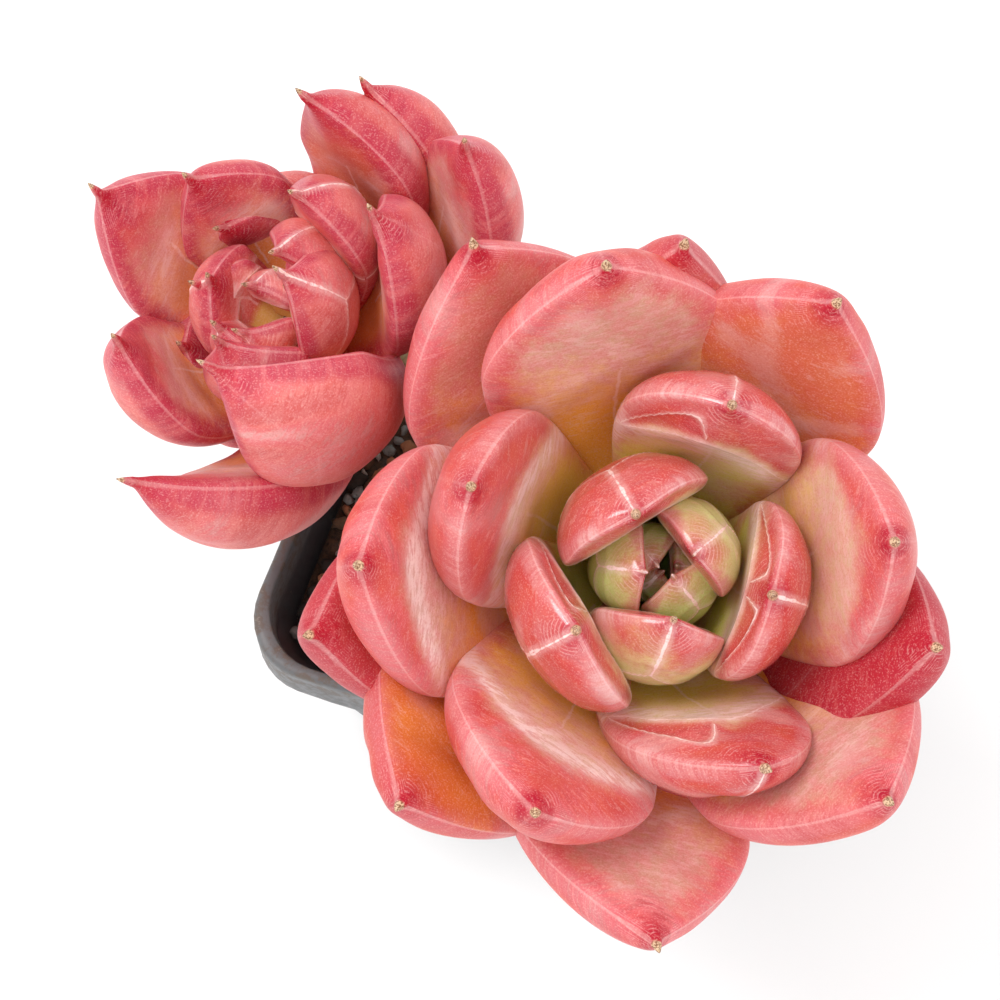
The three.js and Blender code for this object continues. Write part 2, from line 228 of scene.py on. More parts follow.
# Each head has its growing point at apex and grows along axis. Leaf 0 is the youngest.
# Nudges set single leaves apart from the rule, as on a grown plant. Turn goes about the axis, lift
# raises the root and curl bends the leaf inward, all in degrees. Stretch lengthens the leaf and
# bow carries its tip sideways, in millimetres. Width scales its breadth. Marks say how sun-burnt
# or warm a leaf is, with a painted amber glow of light shining through the warmest leaves, which
# side a neighbour pressed flat, and where the coral starts past the crest.
# Many nudges are rounded results of a search against the photo.
MAIN = SimpleNamespace(
    name="main",
    node="main_rosette",
    slot="main_leaves",
    apex=Vector((10.3, -17.4, 88.5)),
    axis=Vector((0.105, -0.243, 0.973)).normalized(),
    first_azimuth=0.5,
    numbers=range(28),
    heart_leaves=13,
    root_radius=(1, 0.12),
    root_drop=(2.5, 0.62),
    core_bottom=24,
    core_radius=5.2,
    rule=main_leaf,
    nudges={
        2: dict(turn=50, curl=6, bow=-1),
        3: dict(stretch=1, curl=14, bow=1),
        4: dict(turn=6, curl=2, bow=-1, width=0.9),
        5: dict(turn=4, lift=8, curl=4, width=0.95),
        6: dict(turn=1, lift=-9, curl=18, stretch=2),
        7: dict(turn=3, lift=2, bow=-2, width=1.14),
        8: dict(turn=4, bow=1, width=1.14),
        9: dict(turn=8, lift=-5, width=1.1),
        10: dict(turn=6, lift=-5, bow=-1),
        11: dict(turn=-12, lift=-10, bow=-5, width=0.95),
        12: dict(turn=9, lift=-8, bow=-1, width=0.94),
        13: dict(turn=-8, lift=4),
        14: dict(lift=-8, bow=-1),
        15: dict(turn=5, lift=-4, bow=-2, width=1.06),
        16: dict(turn=-12, stretch=1),
        17: dict(turn=-2, lift=-3),
        18: dict(turn=15, lift=6),
        19: dict(turn=-8, lift=-6, bow=-4, stretch=1),
        20: dict(turn=-5, lift=-6, bow=2, width=1.04),
        21: dict(turn=-17, lift=20, bow=-2, stretch=-1, width=0.85),
        22: dict(turn=2, lift=3, bow=-2),
        23: dict(turn=12, lift=16, width=0.72),
        24: dict(lift=20, stretch=-12),
        25: dict(turn=28, lift=10, width=0.8),
        26: dict(lift=25, stretch=-16),
        27: dict(lift=25, stretch=-14),
    },
    marks={
        8: dict(facet=BOTH_SIDES, coral_from=0.5),
        9: dict(facet=1, coral_from=0.5),
        10: dict(facet=-1, coral_from=0.5),
        11: dict(facet=1, coral_from=0.5),
        12: dict(crest_line=0.6, coral_from=5),
        13: dict(coral_from=9),
        14: dict(coral_from=6),
        17: dict(coral_from=9),
        18: dict(blush=0.1, warmth=0.75),
        20: dict(blush=0.1, warmth=0.3),
        21: dict(blush=0.95),
        22: dict(blush=0.35, warmth=1.0),
        23: dict(blush=0.5),
        25: dict(blush=0.8),
    },
)

SIDE = SimpleNamespace(
    name="side",
    node="side_rosette",
    slot="side_leaves",
    apex=Vector((-31.6, 14, 81.9)),
    axis=Vector((-0.568, -0.115, 0.815)).normalized(),
    first_azimuth=65,
    numbers=[*range(19), 20, 21],
    heart_leaves=10,
    root_radius=(0.85, 0.15),
    root_drop=(1.4, 0.6),
    core_bottom=20,
    core_radius=4.6,
    rule=side_leaf,
    nudges={
        3: dict(stretch=-2, bow=1, curl=-18),
        4: dict(lift=15, stretch=-4),
        5: dict(turn=-50, lift=-5, bow=4, curl=10),
        6: dict(turn=32, lift=4, bow=-2, curl=-8),
        7: dict(turn=-15, lift=20, stretch=-6, bow=2, curl=10),
        8: dict(lift=-5, stretch=1, bow=3),
        9: dict(lift=30, stretch=-5, bow=-3, curl=-16),
        10: dict(turn=-15, lift=4, stretch=-2, bow=4, curl=6),
        11: dict(turn=14, lift=-8, bow=-3, curl=-8),
        12: dict(turn=-5, lift=12, stretch=1, bow=-1, curl=18),
        13: dict(turn=-20, lift=-10, stretch=1, bow=1, curl=4),
        14: dict(turn=5, lift=10, stretch=2, curl=16),
        15: dict(turn=-12, lift=20, stretch=-2, bow=5, curl=-6, width=0.9),
        16: dict(turn=6, lift=-14, stretch=-2, bow=4, curl=-12, width=0.9),
        17: dict(turn=17, lift=15, stretch=-2, bow=3, curl=-10, width=0.85),
        18: dict(lift=22, stretch=-18),
        20: dict(lift=22, stretch=-18),
        21: dict(lift=4, stretch=-7, bow=1, curl=-20, width=0.8),
    },
    marks={
        10: dict(warmth=0.35),
        13: dict(blush=0.3, warmth=0.75),
        15: dict(warmth=0.25),
        21: dict(blush=0.2, warmth=0.6),
    },
)

HEADS = {"main": MAIN, "side": SIDE}
UNMARKED = {"facet": 0, "blush": 0.0, "warmth": 0.0, "coral_from": 1.5}


def nudged_leaf(head, index):
    """The leaf of that number, set apart from the rule by its nudge and its marks."""
    nudge = head.nudges.get(index, {})
    leaf = head.rule(index)
    leaf.start += nudge.get("lift", 0)
    leaf.curl += nudge.get("curl", 0)
    leaf.length += nudge.get("stretch", 0)
    leaf.half_width *= nudge.get("width", 1)
    leaf.bow = nudge.get("bow", 0)
    leaf.end = 1 + leaf.point_length / leaf.length
    vars(leaf).update(UNMARKED | head.marks.get(index, {}))
    return leaf


def midrib(leaf):
    """The midrib's places out from the axis and up along it, and its slope, at even steps."""
    t = np.linspace(0, leaf.end, MIDRIB_STEPS + 1)
    angle = np.radians(leaf.start + leaf.curl * rise(t, CURL_FROM, CURL_OVER))
    step = leaf.length * leaf.end / MIDRIB_STEPS
    out = np.concatenate([[0], np.cumsum(np.cos(angle[:-1]) * step)])
    up = np.concatenate([[0], np.cumsum(np.sin(angle[:-1]) * step)])
    return t, out, up, angle


def outline_at(t, leaf):
    """The share of the half width that the leaf has at t."""
    swell = leaf.base + (1 - leaf.base) * np.sin(clamp(t / WIDEST_AT) * math.pi / 2) ** 1.3
    beyond = clamp((t - WIDEST_AT) / (1 - WIDEST_AT))
    return np.where(t < WIDEST_AT, swell, (1 - beyond**leaf.shoulder) ** leaf.taper)


def thickness_at(t, leaf):
    """The share of its full thickness that the leaf has at t."""
    swell = ROOT_THICKNESS + (1 - ROOT_THICKNESS) * rise(t, 0, THICKEST_AT)
    beyond = clamp((t - THICKEST_AT) / (1 - THICKEST_AT))
    return np.where(t < THICKEST_AT, swell, (1 - beyond**2.6) ** leaf.end_taper)


def crest_at(t, leaf):
    """The height of the ridge where a younger leaf pressed on the upper face in the bud."""
    before = rise(t, CREST_FROM, leaf.crest_line - CREST_FROM)
    return np.where(t < leaf.crest_line, before, clamp((1 - t) / (1 - leaf.crest_line)) ** 0.9)


def clouds(x, y, size, rng, waves=14):
    """Smooth random lumps of about that size, mostly from -1 to 1."""
    x = x + 0.35 * size * np.sin(y / size * 2.1 + rng.uniform(0, 6))
    y = y + 0.35 * size * np.sin(x / size * 1.7 + rng.uniform(0, 6))
    total = 0
    for _ in range(waves):
        direction = rng.uniform(0, 2 * math.pi)
        pace = 2 * math.pi / (size * rng.uniform(0.8, 2.4))
        phase = rng.uniform(0, 2 * math.pi)
        total = total + np.cos(pace * (x * math.cos(direction) + y * math.sin(direction)) + phase)
    return total / math.sqrt(waves)


def leaf_places(leaf, sides, rings):
    """Where each of a leaf's points lies, and how far from its crest, its margin and its tip."""
    blade = 1 - (1 - np.linspace(0, 1, rings - POINT_RINGS)) ** 1.25
    point = 1 + (leaf.end - 1) * (np.arange(1, POINT_RINGS + 1) / POINT_RINGS)
    turn = 2 * math.pi * np.arange(sides) / sides
    at = SimpleNamespace(t=np.concatenate([blade, point])[:, None], over=np.sin(turn))
    at.across = np.sign(np.cos(turn)) * np.abs(np.cos(turn)) ** 0.9
    at.upper = at.over > 0
    at.tip = leaf.point_radius * clamp((leaf.end - at.t) / (leaf.end - 1)) ** 0.8 + 0.05
    at.half_width = np.hypot(leaf.half_width * outline_at(at.t, leaf), at.tip)
    at.x = at.half_width * at.across
    at.reach = at.t * leaf.length
    at.bent = at.t + CREST_BEND * at.across**2
    at.ridge = (at.bent - leaf.crest_line) * leaf.length
    margin = (1 - np.abs(at.across)) * at.half_width + 0.25 * np.abs(at.over)
    at.margin = margin * np.where(at.upper, 1, BACK_MARGIN)
    round_back = np.where(at.upper, 0, 0.3 * np.abs(at.over) * at.half_width)
    at.tip_reach = np.hypot((1 - at.t) * leaf.length, at.x) + round_back
    return at


def add_creases(leaf, at, rng):
    """Adds how far each point is from the forked keel, the facet by the crest, and the rib."""
    fork = KEEL_SPREAD * clamp(leaf.keel_fork - at.t)
    keel = (np.abs(at.across) - fork) * at.half_width
    at.keel = keel + np.where(at.upper, FAR, 0) + FAR * rise(at.t, 0.34, -0.1)
    sideways = np.abs(at.across) if leaf.facet == BOTH_SIDES else at.across * leaf.facet
    depth = FACET_DEPTH * clamp(1 - ((sideways - 0.5) / 0.46) ** 2)
    facet = (at.bent - leaf.crest_line - depth) * leaf.length
    at.facet = np.where(at.upper & (depth > 0) & (leaf.facet != 0), facet, FAR)
    rib = at.x + 0.5 * np.sin(at.t * 9 + rng.uniform(0, 6))
    faded = rise(at.bent, leaf.crest_line, 0.1) + rise(at.t, 0.3, -0.15) + np.where(at.upper, 0, 1)
    at.rib = rib + FAR * faded * np.sign(rib)


def leaf_points(leaf, at, rng):
    """The leaf's points in millimetres: a domed back, a hollow face and the crest across it."""
    crest = 0
    for shift in CREST_ROUNDING:
        crest = crest + leaf.crest * crest_at(at.bent + shift, leaf) / len(CREST_ROUNDING)
    thick = thickness_at(at.t, leaf)
    above = np.hypot(leaf.above * thick + crest, at.tip)
    below = np.hypot(leaf.below * thick, at.tip)
    lumps = clouds(at.x, at.reach, 0.5 * leaf.half_width + 2, rng)
    relief = LUMP_RELIEF * leaf.half_width * lumps * rise(at.t, 0, 0.2)
    for crease, share in ((at.keel, 1), (at.facet, 1), (at.ridge, 0.86)):
        relief = relief + leaf.imprint * CREASE_RELIEF * share * ridge_of(crease, CREASE_WIDTH / share)
    in_facet = np.minimum(at.ridge, -at.facet)
    relief = relief - leaf.imprint * FACET_RELIEF * rise(in_facet, 0, 1.2)
    relief = relief * (1 - rise(at.t, 0.92, 0.08))
    cup = leaf.cup * leaf.half_width * rise(at.t, 0, 0.6) * (1 - rise(at.t, 0.75, 0.3))
    height = np.where(at.upper, above, below) * np.sign(at.over) * np.abs(at.over) ** 0.92
    height = height + cup * (at.x / leaf.half_width) ** 2
    height = height + relief * np.sign(at.over) * np.abs(at.over) ** 0.5
    rib_t, *columns = midrib(leaf)
    out, up, angle = (np.interp(at.t, rib_t, column) for column in columns)
    x = at.x + leaf.bow * at.t**2
    return np.stack([x, out - np.sin(angle) * height, up + np.cos(angle) * height], axis=-1)


def leaf_flush(leaf, at):
    """How red the skin is, in millimetres past the edge of the flush."""
    from_margin = leaf.flush_margin - at.margin
    on_face = np.maximum(from_margin, leaf.flush_tip - at.tip_reach)
    if leaf.faceted:
        on_face = np.maximum(at.ridge - leaf.coral_from, 0.5 * from_margin - 0.6)
    near_margin = from_margin - 0.5 * np.abs(at.over) * at.half_width
    on_back = np.maximum((at.t - leaf.flush_back) * leaf.length * 0.6, near_margin)
    # A warm face, or one carrying the painted glow, holds less of the flush
    return np.where(at.upper, on_face - 2 * leaf.warmth, on_back) - 8 * rise(at.t, 0.3, -0.3)


def leaf_bloom_and_sheen(leaf, at):
    """How powdery the skin is: by the crest, along the margin, and low on the back. By the crest and the
    margin it also paints sheen where light grazes.
    """
    past = at.ridge - leaf.coral_from + 1.6
    by_crest = ridge_of(np.where(past > 0, past, 0.45 * past), 1.5) * leaf.crest_bloom
    by_margin = (0.28 + 0.25 * leaf.young) * rise(at.margin, 2.2, -2.2)
    low = 0.5 * leaf.young * rise(at.t, leaf.keel_fork - 0.1, -0.12) + leaf.dust
    return by_margin + np.where(at.upper, by_crest, low * rise(np.abs(at.over), 0, 0.25))


# The values a leaf's skin carries, three to an attribute
PLACE = {"leaf_place": ("across", "reach", "leaf_seed")}
CARRIED = {
    "leaf_creases": ("keel", "facet", "ridge"),
    "leaf_edges": ("margin", "tip_reach", "tip_near"),
    "leaf_form": ("along", "rib", "rim"),
    "leaf_tint": ("flush", "bloom", "cloud"),
    "leaf_age": ("young", "tender", "blush"),
    "leaf_kind": ("imprint", "warmth", "dryness"),
}


def leaf_values(leaf, at, rng):
    """Everything a leaf's paint is mixed by, at each of its points."""
    enlarged = max(1, SHORT_LEAF / leaf.length)
    mixed_by = {
        "across": at.x,
        "ridge": at.ridge + np.where(at.upper, 0, FAR),
        "margin": at.margin * enlarged,
        "tip_near": at.tip_reach * enlarged,
        "along": at.t,
        "rim": 0.5 * at.over * at.half_width + 3 * rise(at.t, 0.25, -0.1),
        "flush": leaf_flush(leaf, at) * enlarged,
        "bloom": leaf_bloom_and_sheen(leaf, at),
        "cloud": clouds(at.x, at.reach, 7, rng),
        "dryness": (at.t - 1) / (leaf.end - 1) - leaf.husk_from + leaf.husk - 1,
        "leaf_seed": rng.uniform(0, 90),
    }
    values = vars(leaf) | vars(at) | mixed_by
    shape = at.x.shape
    return {
        key: np.stack([np.broadcast_to(values[name], shape) for name in names], -1)
        for key, names in (PLACE | CARRIED).items()
    }


# Meshes


def with_poles(rings):
    """The values of all rings in a row, then the middle of the first ring and of the last."""
    return np.concatenate([rings.reshape(-1, 3), [rings[0].mean(0), rings[-1].mean(0)]])


def closed_tube(name, rings, values=None):
    """A closed mesh from rings of points in millimetres, with a pole at either end."""
    count, sides = rings.shape[:2]
    ring = np.arange(count - 1)[:, None] * sides
    here = np.arange(sides)
    after = (here + 1) % sides
    quads = np.stack([ring + here, ring + after, ring + sides + after, ring + sides + here], -1)
    faces = quads.reshape(-1, 4).tolist()
    last = (count - 1) * sides
    first_pole = count * sides
    for side, following in zip(here.tolist(), after.tolist()):
        faces.append((following, side, first_pole))
        faces.append((last + side, last + following, first_pole + 1))
    mesh = bpy.data.meshes.new(name)
    mesh.from_pydata((with_poles(rings) * MM).tolist(), [], faces)
    for key, grid in (values or {}).items():
        attribute = mesh.attributes.new(key, "FLOAT_VECTOR", "POINT")
        attribute.data.foreach_set("vector", with_poles(grid).astype(np.float32).reshape(-1))
    work = bmesh.new()
    work.from_mesh(mesh)
    bmesh.ops.recalc_face_normals(work, faces=work.faces)
    work.to_mesh(mesh)
    work.free()
    mesh.shade_smooth()
    return mesh


def place(name, data):
    """A new object of that mesh or curve in the scene, at the origin."""
    piece = bpy.data.objects.new(name, data)
    bpy.context.scene.collection.objects.link(piece)
    return piece


def discard(collection):
    """Removes a collection and the objects in it."""
    for thing in list(collection.objects):
        bpy.data.objects.remove(thing)
    bpy.data.collections.remove(collection)


def hand_over(piece, slot, *nodes):
    """Lets a finished piece ride on the frame in place of its solids."""
    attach(piece, "root")
    if nodes:
        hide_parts(*nodes)


# Node trees


class Nodes:
    """Short calls that build a node tree. An input is a value or another node's socket."""

    def plug(self, socket, value):
        """Links the socket to another, or gives it the value."""
        if isinstance(value, bpy.types.NodeSocket):
            self.tree.links.new(value, socket)
        else:
            socket.default_value = value

    def node(self, kind, inputs=None, **settings):
        """Adds a node, sets it and plugs in its inputs. Returns its outputs."""
        made = self.tree.nodes.new(kind)
        for key, value in settings.items():
            setattr(made, key, value)
        for key, value in (inputs or {}).items():
            self.plug(made.inputs[key], value)
        return made.outputs

    def math(self, operation, *values):
        """The result of Math nodes that work through the values in order."""
        result = values[0]
        for value in values[1:]:
            result = self.node("ShaderNodeMath", {0: result, 1: value}, operation=operation)[0]
        return result

    def times(self, *values):
        """The product of the values."""
        return self.math("MULTIPLY", *values)

    def plus(self, *values):
        """The sum of the values."""
        return self.math("ADD", *values)

    def minus(self, first, second):
        """The first value less the second."""
        return self.math("SUBTRACT", first, second)

    def most(self, *values):
        """The largest of the values."""
        return self.math("MAXIMUM", *values)

    def apply(self, operation, value):
        """A function of one value."""
        return self.node("ShaderNodeMath", {0: value}, operation=operation)[0]

    def vector(self, x, y, z):
        """A vector of three values."""
        return self.node("ShaderNodeCombineXYZ", {0: x, 1: y, 2: z})[0]


class GrowthTree(Nodes):
    """A Geometry Nodes tree with named inputs."""

    def __init__(self, name):
        self.tree = bpy.data.node_groups.new(name, "GeometryNodeTree")
        for direction in ("INPUT", "OUTPUT"):
            self.socket("Geometry", "Geometry", direction)
        self.start = self.tree.nodes.new("NodeGroupInput")
        self.end = self.tree.nodes.new("NodeGroupOutput")
        self.seedling = self.start.outputs[0]

    def socket(self, name, kind, direction):
        """Adds a socket to the tree's own inputs or outputs."""
        self.tree.interface.new_socket(name, in_out=direction, socket_type="NodeSocket" + kind)

    def input(self, name, kind="Float"):
        """Adds a named input and returns its socket inside the tree."""
        self.socket(name, kind, "INPUT")
        return self.start.outputs[name]

    def attribute(self, name):
        """The values of a named attribute."""
        return self.node("GeometryNodeInputNamedAttribute", {"Name": name}, data_type="FLOAT")[0]

    def turned(self, angles):
        """A rotation by a vector of angles."""
        return self.node("FunctionNodeEulerToRotation", {0: angles})[0]

    def random(self, seed, low, high):
        """A random number for each point."""
        inputs = {2: low, 3: high, "Seed": seed}
        return self.node("FunctionNodeRandomValue", inputs, data_type="FLOAT")[1]

    def strewn(self, points, collection, rotation, scale=(1.0, 1.0, 1.0)):
        """One object of the collection on each point."""
        chosen = self.node("GeometryNodeCollectionInfo", {0: collection, 1: True, 2: True})[0]
        inputs = {"Points": points, "Instance": chosen, "Pick Instance": True}
        inputs.update({"Rotation": rotation, "Scale": scale})
        return self.node("GeometryNodeInstanceOnPoints", inputs)[0]

    def finish(self, geometry):
        """Ends the tree: every instance is made real and gets the material."""
        real = self.node("GeometryNodeRealizeInstances", {"Geometry": geometry})[0]
        inputs = {"Geometry": real, "Material": self.input("Material", "Material")}
        painted = self.node("GeometryNodeSetMaterial", inputs)[0]
        self.tree.links.new(painted, self.end.inputs[0])
        return self.tree


def grow(name, seedling, tree, values):
    """Runs a tree on an object, and returns the result as a new object with a plain mesh."""
    modifier = seedling.modifiers.new(tree.name, "NODES")
    modifier.node_group = tree
    for item in tree.interface.items_tree:
        if item.item_type == "SOCKET" and item.in_out == "INPUT" and item.name in values:
            modifier[item.identifier] = values[item.name]
    graph = bpy.context.evaluated_depsgraph_get()
    evaluated = seedling.evaluated_get(graph)
    mesh = bpy.data.meshes.new_from_object(evaluated, preserve_all_data_layers=True, depsgraph=graph)
    seedling.modifiers.remove(modifier)
    bpy.data.objects.remove(seedling)
    mesh.name = name
    mesh.shade_smooth()
    return place(name, mesh)


def rosette_tree():
    """Sets leaves round an axis by the golden angle, each a little further out and lower down."""
    grown = GrowthTree("Rosette")
    leaves = grown.input("Leaves", "Collection")
    golden = grown.input("Golden Angle")
    first = grown.input("First Azimuth")
    number = grown.attribute("leaf_number")

    def stepped(name):
        """A size that has the first leaf's value and goes on by an even step."""
        return grown.plus(grown.input(name), grown.times(grown.input(name + " Step"), number))

    turned = grown.minus(first, grown.times(golden, number))
    azimuth = grown.plus(turned, grown.attribute("turn"))
    reach = stepped("Root Radius")
    root = grown.vector(
        grown.times(reach, grown.apply("COSINE", azimuth)),
        grown.times(reach, grown.apply("SINE", azimuth)),
        grown.times(stepped("Root Drop"), -1.0),
    )
    roots = grown.node("GeometryNodeSetPosition", {"Geometry": grown.seedling, "Position": root})[0]
    facing = grown.vector(0.0, 0.0, grown.minus(azimuth, math.pi / 2))
    return grown.finish(grown.strewn(roots, leaves, grown.turned(facing)))


def scatter_tree():
    """Strews grains over a surface, of mixed forms, sizes and tones."""
    grown = GrowthTree("Grains")
    grains = grown.input("Grains", "Collection")
    seed = grown.input("Seed", "Int")
    inputs = {
        "Mesh": grown.seedling,
        "Distance Min": grown.input("Spacing"),
        "Density Max": grown.input("Density"),
        "Density Factor": grown.attribute("open_soil"),
        "Seed": seed,
    }
    points = grown.node("GeometryNodeDistributePointsOnFaces", inputs, distribute_method="POISSON")[0]
    size = grown.random(seed, grown.input("Smallest"), grown.input("Largest"))
    turns = {0: (0.0, 0.0, 0.0), 1: (math.tau, math.tau, math.tau), "Seed": seed}
    spin = grown.node("FunctionNodeRandomValue", turns, data_type="FLOAT_VECTOR")[0]
    placed = grown.strewn(points, grains, grown.turned(spin), size)
    inputs = {"Geometry": placed, "Name": "tone", "Value": grown.random(seed, 0.0, 1.0)}
    toned = grown.node("GeometryNodeStoreNamedAttribute", inputs, data_type="FLOAT", domain="INSTANCE")
    return grown.finish(toned[0])


def stem_tree():
    """Sweeps a round section along the stem's line, roughens it, and sets old leaf scars on it."""
    grown = GrowthTree("Stem")
    scar = grown.input("Scar", "Object")
    sides = grown.input("Sides", "Int")
    spacing = grown.input("Scar Spacing")
    roughness = grown.input("Roughness")
    radius = grown.node("GeometryNodeInputRadius")[0]
    section = grown.node("GeometryNodeCurvePrimitiveCircle", {"Resolution": sides, "Radius": 1.0})[0]
    inputs = {"Curve": grown.seedling, "Profile Curve": section, "Scale": radius, "Fill Caps": True}
    swept = grown.node("GeometryNodeCurveToMesh", inputs)[0]
    bumps = grown.node("ShaderNodeTexNoise", {"Scale": 900.0, "Detail": 3.0})[0]
    inputs = {
        0: grown.node("GeometryNodeInputNormal")[0],
        "Scale": grown.times(grown.minus(bumps, 0.5), roughness),
    }
    push = grown.node("ShaderNodeVectorMath", inputs, operation="SCALE")[0]
    rough = grown.node("GeometryNodeSetPosition", {"Geometry": swept, "Offset": push})[0]

    inputs = {"Curve": grown.seedling, "Length": spacing}
    marks = grown.node("GeometryNodeCurveToPoints", inputs, mode="LENGTH")
    order = grown.node("GeometryNodeInputIndex")[0]
    spiral = grown.turned(grown.vector(0.0, 0.0, grown.times(order, math.radians(GOLDEN_ANGLE))))
    inputs = {0: marks["Rotation"], 1: spiral}
    turned = grown.node("FunctionNodeRotateRotation", inputs, rotation_space="LOCAL")[0]
    inputs = {
        "Points": marks["Points"],
        "Instance": grown.node("GeometryNodeObjectInfo", {"Object": scar})["Geometry"],
        "Rotation": turned,
        "Scale": grown.times(radius, 1.0 / MM),
    }
    scars = grown.node("GeometryNodeInstanceOnPoints", inputs)[0]
    joined = grown.tree.nodes.new("GeometryNodeJoinGeometry")
    for part in (rough, scars):
        grown.tree.links.new(part, joined.inputs[0])
    return grown.finish(joined.outputs[0])


# Materials


def opaque(colour):
    """The colour with full cover, as sockets want it. A socket is passed on as it is."""
    if isinstance(colour, bpy.types.NodeSocket):
        return colour
    return (*colour[:3], 1.0)


class Paint(Nodes):
    """The nodes of one material."""

    def __init__(self, name):
        self.material = bpy.data.materials.new(name)
        self.material.use_nodes = True
        self.tree = self.material.node_tree
        self.shader = self.tree.nodes["Principled BSDF"]

    def attribute(self, name, output="Fac"):
        """The values of a named attribute."""
        return self.node("ShaderNodeAttribute", attribute_name=name)[output]

    def spots(self):
        """Places on the piece in its own coordinates."""
        return self.node("ShaderNodeTexCoord")["Object"]

    def step(self, value, low, high, bottom=0.0, top=1.0):
        """A smooth step from bottom to top as the value goes from low to high."""
        inputs = {"Value": value, "From Min": low, "From Max": high, "To Min": bottom, "To Max": top}
        return self.node("ShaderNodeMapRange", inputs, interpolation_type="SMOOTHSTEP")[0]

    def noise(self, place, scale, detail=3.0, roughness=0.5, distortion=0.0):
        """Soft random values at that many lumps a metre, or a unit of the place."""
        inputs = {"Vector": place, "Scale": scale, "Detail": detail}
        inputs.update({"Roughness": roughness, "Distortion": distortion})
        return self.node("ShaderNodeTexNoise", inputs)[0]

    def mix(self, share, first, second):
        """The first colour with a share of the second over it."""
        inputs = {"Factor": share, 6: opaque(first), 7: opaque(second)}
        return self.node("ShaderNodeMix", inputs, data_type="RGBA")[2]

    def line(self, distance, wander, width):
        """A line of that width in millimetres, drawn where the distance is near nothing."""
        away = self.apply("ABSOLUTE", self.plus(distance, wander))
        return self.step(away, width, 0.25 * width)

    def bump(self, height, distance, strength, under=None):
        """A bump of that depth in metres, over another one if given."""
        inputs = {"Height": height, "Distance": distance, "Strength": strength}
        if under is not None:
            inputs["Normal"] = under
        return self.node("ShaderNodeBump", inputs)[0]

    def finish(self, **values):
        """Plugs in sockets of the shader, with underscores for spaces, and returns the material."""
        for key, value in values.items():
            self.plug(self.shader.inputs[key.replace("_", " ")], value)
        return self.material


